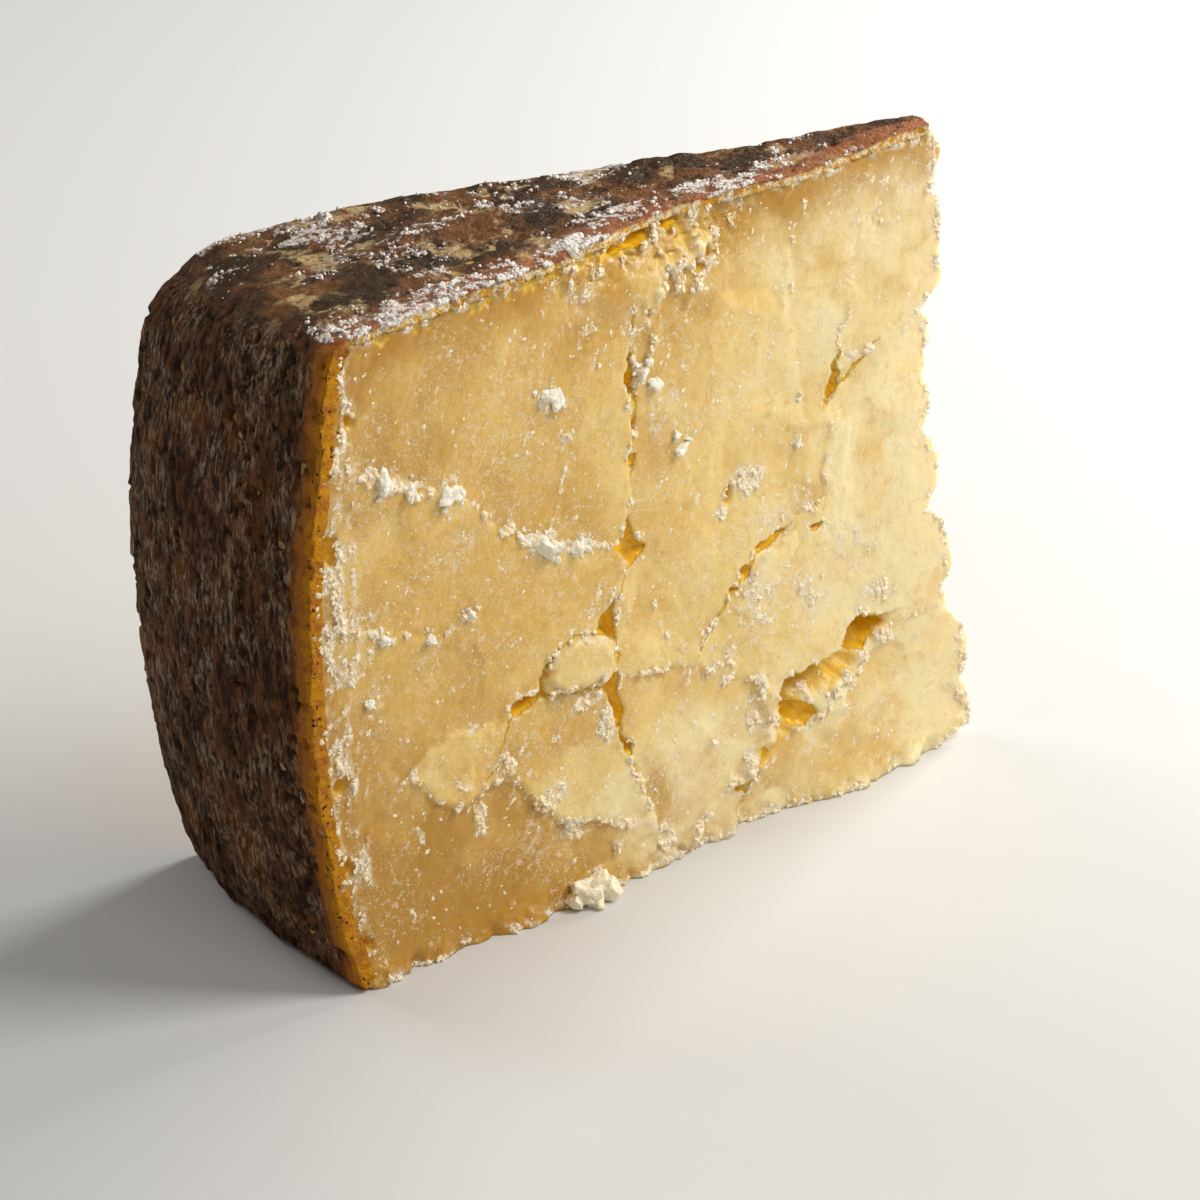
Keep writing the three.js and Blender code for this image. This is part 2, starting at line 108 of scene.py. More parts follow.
def smooth_noise(x: Array, y: Array, z: Array, seed: int = 0) -> Array:
    """Interpolates the lattice smoothly; about -1 to 1, one hump to a unit of length."""
    x, y, z = np.broadcast_arrays(*(np.asarray(v, float) for v in (x, y, z)))
    low = [np.floor(v).astype(np.int64) for v in (x, y, z)]
    part = [v - f for v, f in zip((x, y, z), low)]
    ease = [p * p * p * (p * (p * 6 - 15) + 10) for p in part]
    total = np.zeros(x.shape)
    for dx in (0, 1):
        for dy in (0, 1):
            for dz in (0, 1):
                weight = np.ones(x.shape)
                for step, eased in zip((dx, dy, dz), ease):
                    weight = weight * (eased if step else 1 - eased)
                total += weight * lattice_value(low[0] + dx, low[1] + dy, low[2] + dz, seed)
    return total


def rough_noise(x: Array, y: Array, z: Array, octaves: int = 3, seed: int = 0) -> Array:
    """Adds finer and weaker copies of smooth noise; about -1 to 1."""
    total = 0.0
    weight = 0.0
    for octave in range(octaves):
        scale = 2.0**octave
        total = total + smooth_noise(x * scale, y * scale, z * scale, seed + octave) / scale
        weight += 1 / scale
    return total / weight


def scattered_cells(x: Array, y: Array, seed: int) -> Array:
    """Splits a plane into uneven cells a unit across.

    Args:
        x, y: Places in the plane.
        seed: Which pattern of cells is read.

    Returns:
        The value of each place's cell, tilted across it and mixed at its borders.
    """
    jitter, tilt, border = 0.45, 1.6, 0.22
    column, row = np.floor(x).astype(np.int64), np.floor(y).astype(np.int64)
    nearest = np.full(x.shape, np.inf)
    second = np.full(x.shape, np.inf)
    value, other = np.zeros(x.shape), np.zeros(x.shape)
    zero = np.zeros_like(column)
    for dx in (-1, 0, 1):
        for dy in (-1, 0, 1):
            i, j = column + dx, row + dy
            middle_x = i + 0.5 + jitter * lattice_value(i, j, zero, seed)
            middle_y = j + 0.5 + jitter * lattice_value(i, j, zero + 1, seed)
            distance = np.hypot(x - middle_x, y - middle_y)
            closer = distance < nearest
            runner_up = ~closer & (distance < second)
            tilted = lattice_value(i, j, zero + 2, seed)
            tilted += tilt * (x - middle_x) * lattice_value(i, j, zero + 3, seed)
            tilted += tilt * (y - middle_y) * lattice_value(i, j, zero + 4, seed)
            other = np.where(closer, value, np.where(runner_up, tilted, other))
            second = np.where(closer, nearest, np.minimum(second, distance))
            value = np.where(closer, tilted, value)
            nearest = np.where(closer, distance, nearest)
    own = 0.5 + 0.5 * ramp(second - nearest, 0, border)
    return blend(other, value, own)


def ramp(value: Array, low: float, high: float) -> Array:
    """Rises smoothly from 0 at low to 1 at high."""
    share = np.clip((value - low) / (high - low), 0, 1)
    return share * share * (3 - 2 * share)


def hump(value: Array, middle: float, half_width: float) -> Array:
    """A smooth hump: 1 at the middle, 0 from half_width outwards."""
    return 1 - ramp(np.abs(value - middle), 0, half_width)


def blend(start: Array, end: Array, share: Array) -> Array:
    """Straight mix of two values."""
    return start + (end - start) * share


@dataclass(frozen=True)
class OnPath:
    """Where places lie against a path: distance, width there, share along it, and side."""

    distance: Array
    width: Array
    share: Array
    below: Array


def measure_path(from_tip: Array, rise: Array, path: tuple[PathPoint, ...]) -> OnPath:
    """Finds the nearest point of a path for many places at once.

    Args:
        from_tip, rise: The places on the cut.
        path: Points of (from_tip, rise) or (from_tip, rise, width).

    Returns:
        The measures of each place against the path.
    """
    distance = np.full(from_tip.shape, np.inf)
    width = np.zeros(from_tip.shape)
    share = np.zeros(from_tip.shape)
    below = np.zeros(from_tip.shape, bool)
    steps = len(path) - 1
    for index in range(steps):
        start, end = path[index], path[index + 1]
        step_u, step_z = end[0] - start[0], end[1] - start[1]
        held = ((from_tip - start[0]) * step_u + (rise - start[1]) * step_z) / (step_u**2 + step_z**2)
        held = np.clip(held, 0, 1)
        away_u = from_tip - start[0] - held * step_u
        away_z = rise - start[1] - held * step_z
        here = np.hypot(away_u, away_z)
        closer = here < distance
        distance = np.where(closer, here, distance)
        share = np.where(closer, (index + held) / steps, share)
        below = np.where(closer, step_u * away_z - step_z * away_u < 0, below)
        if len(start) > 2:
            width = np.where(closer, blend(start[2], end[2], held), width)
    return OnPath(distance, width, share, below)


def depth_within(from_tip: Array, rise: Array, outline: tuple[PathPoint, ...]) -> Array:
    """How far places lie inside a closed outline; outside it, less than 0."""
    away = measure_path(from_tip, rise, outline + outline[:1]).distance
    inside = np.zeros(from_tip.shape, bool)
    for start, end in zip(outline, outline[1:] + outline[:1]):
        if start[1] != end[1]:
            crossing = start[0] + (end[0] - start[0]) * (rise - start[1]) / (end[1] - start[1])
            inside ^= ((start[1] > rise) != (end[1] > rise)) & (from_tip < crossing)
    return np.where(inside, away, -away)


# ---------------------------------------------------------------- the plain wedge


@dataclass(frozen=True)
class WedgeForm:
    """The smooth wedge that the cheese was cut to, and its place in the part's frame."""

    height: float = 84.0
    wheel_radius: float = 100.0
    side_swell: float = 6.0
    axis_beyond_tip: float = 5.0
    wedge_angle: float = math.radians(24.5)
    tip_thickness: float = 3.0
    shoulder_front: float = 2.0
    shoulder_back: float = 9.0
    foot_radius: float = 1.5
    back_fall: float = 1.0
    back_fall_rate: float = 4.0
    corner_fall: float = 2.9
    corner_fall_start: float = 0.7
    tip_edge_x: float = 47.953
    front_cut_y: float = -19.864

    def radius_at(self, rise: Array) -> Array:
        """The wheel's radius at a height: widest half way up."""
        return self.wheel_radius + self.side_swell * (1 - (2 * rise / self.height - 1) ** 2)

    def side_point(self, through: Array, rise: Array) -> tuple[Array, Array]:
        """A point on the wheel's side; through is 0 on the front cut and 1 on the back cut."""
        radius = self.radius_at(rise)
        cos, sin = math.cos(self.wedge_angle), math.sin(self.wedge_angle)
        start = (self.axis_beyond_tip, self.tip_thickness)
        to_start = start[0] * cos + start[1] * sin
        length = np.sqrt(to_start**2 - start[0] ** 2 - start[1] ** 2 + radius**2) - to_start
        angle = through * np.arctan2(start[1] + length * sin, start[0] + length * cos)
        return radius * np.cos(angle) - self.axis_beyond_tip, radius * np.sin(angle)

    def top_at(self, outward: Array, through: Array) -> Array:
        """The height of the top, which falls a little towards the back and the rind."""
        general = self.back_fall * np.minimum(1, self.back_fall_rate * outward)
        corner_share = (outward - self.corner_fall_start) / (1 - self.corner_fall_start)
        return self.height - through * (general + self.corner_fall * np.clip(corner_share, 0, 1))

    def round_edge(
        self, spot: tuple[Array, Array, Array], edge: Array | float, radius: Array | float, upward: int
    ) -> tuple[Array, Array, Array]:
        """Rounds the edge between the wheel's side and its top or base.

        Args:
            spot: The places, as (from_tip, back, rise).
            edge: The height of the edge.
            radius: The edge's radius.
            upward: 1 for the top edge, -1 for the base.

        Returns:
            The rounded places.
        """
        from_tip, back, rise = spot
        from_axis = np.hypot(from_tip + self.axis_beyond_tip, back)
        in_side = radius - (self.radius_at(rise) - from_axis)
        in_edge = radius - (edge - rise) * upward
        near = (in_side > 0) & (in_edge > 0)
        length = np.maximum(np.hypot(in_side, in_edge), TINY)
        squeeze = np.where(near, 1 - np.maximum(in_side, in_edge) / length, 0)
        shrink = 1 - in_side * squeeze / from_axis
        from_tip = (from_tip + self.axis_beyond_tip) * shrink - self.axis_beyond_tip
        return from_tip, back * shrink, rise - in_edge * squeeze * upward

    def place(self, outward: Array, through: Array, upward: Array) -> tuple[Array, Array, Array]:
        """Where a point of the unit box lies on the smooth wedge: (from_tip, back, rise)."""
        top = self.top_at(outward, through)
        side_u, side_y = self.side_point(through, upward * top)
        spot = (outward * side_u, blend(self.tip_thickness * through, side_y, outward), upward * top)
        shoulder = blend(self.shoulder_front, self.shoulder_back, through)
        spot = self.round_edge(spot, top, shoulder, 1)
        return self.round_edge(spot, 0.0, self.foot_radius, -1)

    def to_metres(self, from_tip: Array, back: Array, rise: Array) -> Array:
        """Rows of x, y, z in the part's frame."""
        return np.column_stack((self.tip_edge_x - from_tip, self.front_cut_y + back, rise)) * MM


# ---------------------------------------------------------------- relief of the cuts


@dataclass(frozen=True)
class Crack:
    """A crack in a cut; each path point is (from_tip, rise, width)."""

    depth: float
    path: tuple[PathPoint, ...]


@dataclass(frozen=True)
class Seam:
    """A hairline between curd plates, with pale crumbs along it and a step across it."""

    path: tuple[PathPoint, ...]
    step: float = 0.3
    fade: float = 5.0
    chalk: float = 0.8
    lip: float = 0.2
    tone_width: float = 6.0


@dataclass(frozen=True)
class Ridge:
    """A flake or a bank of crumbs that stands out along a path."""

    path: tuple[PathPoint, ...]
    height: float
    chalk: float = 0.3


@dataclass(frozen=True)
class Plate:
    """A flake with a crisp pale edge that stands out of the cut, or an opening where it is sunk."""

    outline: tuple[PathPoint, ...]
    height: float
    chalk: float = 0.8

    @property
    def is_opening(self) -> bool:
        """Whether the outline bounds a hole."""
        return self.height < 0


@dataclass(frozen=True)
class Patch:
    """A rounded place on a cut with its own depth and paleness."""

    at: tuple[float, float]
    wide: float
    tall: float
    depth: float = 0.0
    chalk: float = 0.0


@dataclass
class Surface:
    """What a cut is like at many places; a cut's features are added to it one by one.

    The depth into the cheese, the painted glow and shade of hollows (amber) and how pale and crumbly
    the paste is, then the way to the nearest crack: its distance, the same with a sign for its side,
    and half of the crack's width; last, how far inside an opening the place is, and the tone of its
    curd plate, which is more than 0 where it is pale and less where it is golden.
    plate, which is more than 0 where it is pale and less where it is golden.
    """

    inward: Array
    amber: Array
    chalk: Array
    near: Array
    split: Array
    gape: Array
    hole: Array
    tone: Array


@dataclass(frozen=True)
class Raggedness:
    """The places (u, z) moved so that edges come out ragged, and noise to break up features."""

    u: Array
    z: Array
    patchy: Array
    lumpy: Array
    spread: Array


@dataclass(frozen=True)
class BrokenCut:
    """A cut where the paste broke rather than sliced: its relief and its colour masks."""

    seed: int
    cracks: tuple[Crack, ...]
    seams: tuple[Seam, ...] = ()
    ridges: tuple[Ridge, ...] = ()
    patches: tuple[Patch, ...] = ()
    plates: tuple[Plate, ...] = ()
    wave_size: float = 0.30
    wave_grain: float = 13.0
    plate_size: float = 12.0
    plate_step: float = 0.26
    crumb_size: float = 0.06
    crumb_grain: float = 1.7
    ragged: float = 0.55
    ragged_grain: float = 1.5
    tone_contrast: float = 0.75
    full_step: float = 0.3
    seam_end: float = 0.08
    seam_slope: float = 0.6
    lip_height: float = 0.12
    lip_width: float = 0.6
    edge_softness: float = 0.1
    out_of_reach: float = 3.0

    def grain(self, from_tip: Array, rise: Array, size: float, octaves: int, seed: int) -> Array:
        """Noise over the cut with humps of one size."""
        return rough_noise(from_tip / size, rise / size, self.seed, octaves, self.seed + seed)

    def broad_form(self, from_tip: Array, rise: Array) -> Array:
        """The uneven paste before any crack: waves and the steps of curd plates."""
        waves = self.wave_size * self.grain(from_tip, rise, self.wave_grain, 3, 1)
        return waves + self.plate_step * self.plate_value(from_tip, rise, self.plate_size)

    def plate_value(self, from_tip: Array, rise: Array, size: float) -> Array:
        """A value for each curd plate, tilted across it; about -1 to 1."""
        bend, bend_grain = 1.6, 4.0
        bent_u = from_tip + bend * self.grain(from_tip, rise, bend_grain, 2, 2)
        bent_z = rise + bend * self.grain(from_tip, rise, bend_grain, 2, 3)
        return scattered_cells(bent_u / size, bent_z / size, self.seed)

    def crumbly_skin(self, from_tip: Array, rise: Array) -> Array:
        """The small crumbs that the broken paste shows everywhere."""
        crumbs = self.crumb_size * self.grain(from_tip, rise, self.crumb_grain, 3, 4)
        return crumbs + 0.06 * self.grain(from_tip, rise, 0.7, 1, 5)

    def flecks(self, from_tip: Array, rise: Array) -> Array:
        """Small upright pale flecks, in loose groups."""
        groups = ramp(self.grain(from_tip, rise, 7.0, 2, 6), -0.1, 0.5)
        flecks = rough_noise(from_tip / 0.8, rise / 1.5, self.seed, 2, self.seed + 7)
        return groups * ramp(flecks, 0.28, 0.62)

    def raggedness(self, from_tip: Array, rise: Array) -> Raggedness:
        """How the features are broken up at many places."""
        return Raggedness(
            u=from_tip + self.ragged * self.grain(from_tip, rise, self.ragged_grain, 2, 8),
            z=rise + self.ragged * self.grain(from_tip, rise, self.ragged_grain, 2, 9),
            patchy=ramp(self.grain(from_tip, rise, 1.3, 2, 10), -0.35, 0.45),
            lumpy=np.abs(self.grain(from_tip, rise, 2.4, 3, 12)),
            spread=0.35 + 1.5 * ramp(self.grain(from_tip, rise, 3.6, 2, 13), -0.1, 0.7),
        )

    def plain_surface(self, from_tip: Array, rise: Array) -> Surface:
        """The cut before any feature: uneven paste with its crumbs and flecks."""
        shape = from_tip.shape
        return Surface(
            inward=self.broad_form(from_tip, rise) + self.crumbly_skin(from_tip, rise),
            amber=np.zeros(shape),
            chalk=0.45 * self.flecks(from_tip, rise),
            near=np.full(shape, self.out_of_reach),
            split=np.full(shape, self.out_of_reach),
            gape=np.zeros(shape),
            hole=np.full(shape, -self.out_of_reach),
            tone=0.45 * self.plate_value(from_tip, rise, 0.6 * self.plate_size),
        )

    def add_seam(self, cut: Surface, at: Raggedness, seam: Seam) -> None:
        """Adds a step, a change of tone across it and a ragged row of pale crumbs.

        Args:
            cut: What the cut is like so far; this and the next four methods change it.
            at: The places, and what breaks the feature up.
            seam: The feature.
        """
        spot = measure_path(at.u, at.z, seam.path)
        ends = ramp(spot.share, 0, self.seam_end) * ramp(1 - spot.share, 0, self.seam_end)
        contrast = self.tone_contrast * max(-1.0, min(1.0, seam.step / self.full_step))
        side = np.where(spot.below, -contrast, contrast)
        cut.tone += side * np.exp(-((spot.distance / seam.tone_width) ** 1.5)) * ends
        across = np.where(spot.below, 1, -1) * np.exp(-spot.distance / seam.fade)
        cut.inward += seam.step * across * ends * ramp(spot.distance, 0, self.seam_slope)
        crumbs = np.exp(-((spot.distance / at.spread) ** 2)) * at.patchy
        cut.chalk = np.maximum(cut.chalk, seam.chalk * crumbs)
        cut.inward -= 0.6 * seam.lip * crumbs

    def add_ridge(self, cut: Surface, at: Raggedness, ridge: Ridge) -> None:
        """Adds a rounded ridge, uneven in height."""
        spot = measure_path(at.u, at.z, ridge.path)
        across = 2 * spot.distance / np.maximum(spot.width, 0.1)
        rounded = np.sqrt(np.clip(1 - across**2, 0, 1))
        cut.inward -= ridge.height * rounded * (0.35 + 1.3 * at.lumpy)
        cut.chalk = np.maximum(cut.chalk, ridge.chalk * rounded * at.patchy)

    def add_patch(self, cut: Surface, at: Raggedness, patch: Patch) -> None:
        """Adds a rounded place, with a pale rim and painted glow and shade inside where it is sunk."""
        across = (at.u - patch.at[0]) / (patch.wide / 2)
        away = np.hypot(across, (at.z - patch.at[1]) / (patch.tall / 2))
        inside = 1 - ramp(away, 0.45, 1.1)
        cut.inward += patch.depth * inside
        # Painted glow and shade: a deep pit is marked amber.
        cut.amber = np.maximum(cut.amber, inside * ramp(patch.depth, 0.3, 1.4))
        cut.chalk = np.maximum(cut.chalk, patch.chalk * inside * (0.55 + 0.45 * at.patchy))
        if patch.depth > 0:
            rim = np.exp(-(((away - 1.15) / 0.3) ** 2)) * at.patchy
            cut.chalk = np.maximum(cut.chalk * (1 - inside), 0.7 * rim)

    def add_crack(self, cut: Surface, at: Raggedness, crack: Crack) -> None:
        """Adds a crack: its groove, its crumbly lips, and the way to it for the colour masks."""
        spot = measure_path(at.u, at.z, crack.path)
        half = np.maximum(spot.width / 2, 0.05)
        past_edge = spot.distance - half
        closer = (past_edge < cut.near - cut.gape) & (past_edge < self.out_of_reach / 2)
        signed = np.where(spot.below, 1, -1) * spot.distance
        cut.near = np.where(closer, spot.distance, cut.near)
        cut.split = np.where(closer, signed, cut.split)
        cut.gape = np.where(closer, half, cut.gape)
        opened = ramp(1 - spot.distance / half, 0.0, 0.45)
        deepest = np.minimum(crack.depth, 0.7 + 0.8 * spot.width) * ramp(spot.width, 0.3, 0.9)
        cut.inward += deepest * opened
        lip = np.exp(-np.maximum(past_edge, 0) / self.lip_width) * (1 - opened)
        bare = 1 - ramp(opened, 0, 0.4)
        cut.chalk = np.maximum(cut.chalk * bare, 0.7 * lip * at.patchy)
        cut.inward -= self.lip_height * lip

    def add_plate(self, cut: Surface, at: Raggedness, plate: Plate) -> None:
        """Adds a flake with a pale rim inside its outline, or a hole with one around it."""
        soft = self.edge_softness
        depth = depth_within(at.u, at.z, plate.outline)
        cut.inward -= plate.height * ramp(depth, -soft, 0.5)
        cut.tone += 0.7 * ramp(depth, -soft, 2 * soft) * (plate.height > 0)
        rim = np.exp(-(((depth - 0.35) / 0.4) ** 2)) * (0.3 + 0.7 * at.patchy)
        if plate.is_opening:
            cut.hole = np.maximum(cut.hole, depth)
            rim = 0.8 * np.exp(-(((depth + 0.35) / 0.3) ** 2)) * at.patchy
            cut.chalk = cut.chalk * (1 - ramp(depth, -soft, 2 * soft))
        cut.chalk = np.maximum(cut.chalk, plate.chalk * rim)

    def surface(self, from_tip: Array, rise: Array) -> Surface:
        """Works out the cut at many places.

        Args:
            from_tip, rise: The places.

        Returns:
            What the cut is like there.
        """
        cut, at = self.plain_surface(from_tip, rise), self.raggedness(from_tip, rise)
        for add, features in (
            (self.add_seam, self.seams),
            (self.add_ridge, self.ridges),
            (self.add_patch, self.patches),
            (self.add_crack, self.cracks),
            (self.add_plate, self.plates),
        ):
            for feature in features:
                add(cut, at, feature)
        crumbly = 0.28 * np.abs(self.grain(from_tip, rise, 1.3, 2, 11))
        cut.inward -= ramp(cut.chalk, 0.3, 0.9) * crumbly
        cut.amber, cut.chalk = np.clip(cut.amber, 0, 1), np.clip(cut.chalk, 0, 1)
        return cut


@dataclass(frozen=True)
class FrontCut(BrokenCut):
    """The cut that faces the viewer, with its torn top edge, sunken block and uneven foot."""

    torn_middle: float = 42.0
    torn_half_width: float = 22.0
    torn_depth: float = 2.8
    torn_drop: float = 8.0
    block_depth: float = 1.5
    block_fade: float = 12.0
    trench_depth: float = 3.0
    block_top: float = 24.0
    trench_edge: tuple[PathPoint, ...] = (
        (2.0, 20.4, 0.8), (8.0, 20.8, 1.6), (10.1, 20.9, 3.2), (12.5, 22.0, 5.0), (15.0, 21.8, 5.4),
        (16.4, 19.7, 4.8), (17.3, 18.7, 4.4), (22.1, 18.3, 5.0), (25.9, 17.2, 4.6), (27.4, 15.0, 4.4),
        (26.9, 12.6, 3.4), (28.3, 9.8, 2.4), (31.6, 7.6, 1.8), (33.2, 4.9, 1.6), (34.4, 1.9, 1.4),
        (34.8, -2.0, 1.0),
    )
    top: float = 84.0
    rind_band: float = 92.6
    rind_band_strength: float = 0.62
    top_band: tuple[float, float] = (81.6, 82.9)
    top_band_strength: float = 0.75
    tip_band: tuple[float, float] = (0.4, 3.0)
    tip_band_strength: float = 0.6
    foot_band: tuple[float, float] = (0.2, 2.2)
    foot_band_strength: float = 0.7
    pock_depth: float = 0.9
    shred_depth: float = 0.45
    gap_depth: float = 0.5
    rubble_depth: float = 0.7

    def foot_reach(self, from_tip: Array, rise: Array) -> Array:
        """How far the foot spreads forward: two broad flares and ragged scallops."""
        reach = 1.3 * np.clip(1 - rise / 6, 0, 1) ** 2 * hump(from_tip, 57, 22)
        reach += 2.6 * np.clip(1 - rise / 8, 0, 1) ** 2 * hump(from_tip, 17, 13)
        low = np.clip(1 - rise / 3.2, 0, 1)
        wave = 0.5 + 0.5 * self.grain(from_tip, 0.4 * rise, 3.6, 2, 20)
        small = 0.5 + 0.5 * self.grain(from_tip, rise, 1.2, 2, 21)
        return reach + low * (2.0 * wave + 1.2 * small - 1.2)

    def trench(self, from_tip: Array, rise: Array) -> tuple[Array, Array]:
        """Measures places against the upper edge of the trench over the lower right block.

        Args:
            from_tip, rise: The places on the cut.

        Returns:
            The distance below the edge, less than 0 above it, and the same as a share of the
            trench's width there.
        """
        wander = 0.45 * self.grain(from_tip, rise, 1.8, 2, 26)
        spot = measure_path(from_tip + wander, rise + wander, self.trench_edge)
        below = np.where(spot.below & (rise < self.block_top), spot.distance, -spot.distance)
        return below, below / np.maximum(spot.width, 0.5)

    def sunken_block(self, from_tip: Array, rise: Array) -> Array:
        """The lower right block: it lies back a little, behind a deep trench above it."""
        below, share = self.trench(from_tip, rise)
        floor = self.trench_depth * (1 - ramp(share, 0.25, 1.0))
        lower = self.block_depth * np.exp(-np.maximum(below, 0) / self.block_fade) * ramp(from_tip, 1, 13)
        return np.where(below > 0, floor * ramp(from_tip, 8, 11) + lower * ramp(from_tip, 3, 12), 0)

    def broad_form(self, from_tip: Array, rise: Array) -> Array:
        """Adds the torn top edge, the sunken block and the foot to the uneven paste."""
        torn = ramp(rise, self.top - self.torn_drop, self.top)
        torn = self.torn_depth * torn * hump(from_tip, self.torn_middle, self.torn_half_width)
        sunken = self.sunken_block(from_tip, rise)
        return super().broad_form(from_tip, rise) + torn + sunken - self.foot_reach(from_tip, rise)

    def pale_bands(self, from_tip: Array, rise: Array, patchy: Array) -> tuple[Array, ...]:
        """The crumbly bands by the rind, under the top, along the tip edge and at the foot."""
        streaky = ramp(rough_noise(from_tip / 1.1, rise / 3.0, 3.5, 3, 23), -0.35, 0.4)
        edge = self.rind_band + 1.3 * self.grain(from_tip, rise, 5.0, 2, 24)
        by_rind = self.rind_band_strength * ramp(from_tip, edge - 0.6, edge + 1.2) * streaky
        wandering = rise + 0.9 * self.grain(from_tip, rise, 3, 2, 25)
        under_top = self.top_band_strength * ramp(wandering, *self.top_band) * patchy
        at_tip = self.tip_band_strength * (1 - ramp(from_tip, *self.tip_band)) * patchy
        at_foot = self.foot_band_strength * (1 - ramp(rise, *self.foot_band)) * patchy
        return by_rind, under_top, at_tip, at_foot

    def torn_paste(self, from_tip: Array, rise: Array) -> tuple[Array, Array, Array]:
        """The pocks, shreds and dark gaps between teeth of the torn paste under the rind."""
        torn = ramp(rise, 77.0, 80.0) * hump(from_tip, 45, 24)
        pocks = ramp(self.grain(from_tip, rise, 1.2, 3, 27), 0.18, 0.42) * torn
        shreds = rough_noise(from_tip / 0.9, rise / 2.0, 8.5, 3, 32) * torn
        gaps = ramp(self.grain(from_tip, rise, 1.1, 2, 30), 0.12, 0.4) * ramp(rise, 80.9, 82.2)
        gaps *= ramp(from_tip, 46, 54) * (1 - ramp(from_tip, 91, 94))
        return pocks, shreds, gaps

    def surface(self, from_tip: Array, rise: Array) -> Surface:
        """Adds the pale bands, the crumbly slope of the trench and the torn paste."""
        base = super().surface(from_tip, rise)
        patchy = ramp(self.grain(from_tip, rise, 1.4, 3, 22), -0.4, 0.35)
        bands = self.pale_bands(from_tip, rise, patchy)
        chalk = base.chalk
        for band in bands:
            chalk = np.maximum(chalk, band * (1 - base.amber))
        inward = base.inward - 0.14 * bands[0] - 0.15 * bands[1]

        below, share = self.trench(from_tip, rise)
        share = share + 0.25 * self.grain(from_tip, rise, 1.6, 2, 28)
        crumbs = ramp(self.grain(from_tip, rise, 1.5, 3, 29), 0.0, 0.4) * ramp(share, 0.35, 0.7)
        sloping = np.where(below > -0.3, (1 - ramp(share, 0.80, 1.20)) * (1 - crumbs), 0)
        sloping = sloping * ramp(from_tip, 8, 10.5)
        brink = np.exp(-(((share - 1.15) / 0.25) ** 2)) * (below > 0) * patchy
        above = (below <= 0) * (rise < self.block_top) * (from_tip > 9)
        lip = np.exp(-np.maximum(-below, 0) / 0.9) * above
        for band in (0.75 * brink, 0.85 * lip * patchy, 0.8 * crumbs * (share > 0) * (share < 1)):
            chalk = np.maximum(chalk * (1 - 0.9 * sloping), band)

        pocks, shreds, gaps = self.torn_paste(from_tip, rise)
        rubble = self.rubble_depth * self.grain(from_tip, rise, 1.4, 3, 33) * sloping
        inward = inward + self.pock_depth * pocks + self.shred_depth * shreds
        inward = inward + rubble - 0.7 * crumbs * (share < 1.1) + self.gap_depth * gaps
        bare = 0.45 + 0.35 * ramp(self.grain(from_tip, rise, 1.5, 2, 31), -0.2, 0.4)
        # Painted glow and shade: the trench's slope, the pocks and the gaps are marked amber.
        amber = np.maximum.reduce([base.amber, sloping * bare, 0.5 * pocks, 0.75 * gaps])
        chalk = np.maximum(chalk, 0.75 * ramp(-shreds, 0.0, 0.3))
        chalk = chalk * (1 - 0.8 * pocks) * (1 - 0.7 * gaps) * (1 - 0.7 * sloping)
        return replace(base, inward=inward, amber=amber, chalk=np.clip(chalk, 0, 1))


FRONT_CRACKS = (
    # Upper main crack.
    Crack(2.6, (
        (49.5, 75.0, 0.2), (49.5, 72.2, 0.5), (49.7, 69.4, 0.3), (50.0, 66.6, 0.9), (50.3, 65.4, 1.6),
        (49.2, 63.0, 0.6), (49.1, 60.8, 0.25), (49.6, 59.2, 0.8), (49.8, 57.2, 0.25), (49.9, 54.6, 0.25),
        (50.0, 53.6, 0.7), (50.3, 52.0, 0.2),
    )),
    # Below the star opening.
    Crack(1.6, (
        (51.2, 41.4, 0.5), (51.6, 40.0, 0.3), (52.8, 38.6, 0.25), (53.9, 37.4, 0.3),
    )),
    # Left of the chip.
    Crack(2.4, (
        (57.4, 34.6, 0.3), (60.0, 35.0, 0.3), (63.0, 34.0, 0.5), (65.2, 31.4, 1.1), (65.4, 29.4, 0.9),
        (64.4, 28.4, 0.3),
    )),
    # Down from the chip.
    Crack(1.6, (
        (69.8, 28.0, 0.5), (71.6, 24.4, 0.35), (73.0, 21.8, 0.25), (75.2, 20.4, 0.15),
    )),
    # Below the chip.
    Crack(1.4, ((65.0, 29.0, 0.3), (61.0, 27.9, 0.4), (56.4, 26.6, 0.35))),
    # Right of the chip.
    Crack(1.8, (
        (53.4, 32.4, 0.3), (53.0, 30.0, 0.3), (53.6, 28.4, 0.4), (52.8, 20.6, 0.5), (51.7, 17.4, 0.9),
        (51.4, 15.8, 0.25), (50.0, 12.6, 0.15),
    )),
    # Slanting crack.
    Crack(1.6, (
        (31.0, 36.0, 0.4), (32.6, 34.4, 0.4), (34.0, 32.7, 0.4), (36.6, 30.2, 0.3), (40.4, 25.8, 0.2),
    )),
    # Short crack near the tip.
    Crack(2.6, (
        (15.0, 63.6, 0.1), (15.6, 59.4, 0.2), (16.2, 57.0, 0.7), (16.8, 54.6, 2.4), (17.8, 52.4, 0.6),
    )),
    # Groove near the tip.
    Crack(1.2, ((9.0, 58.6, 0.1), (12.0, 56.4, 0.45), (15.0, 54.6, 0.9))),
)

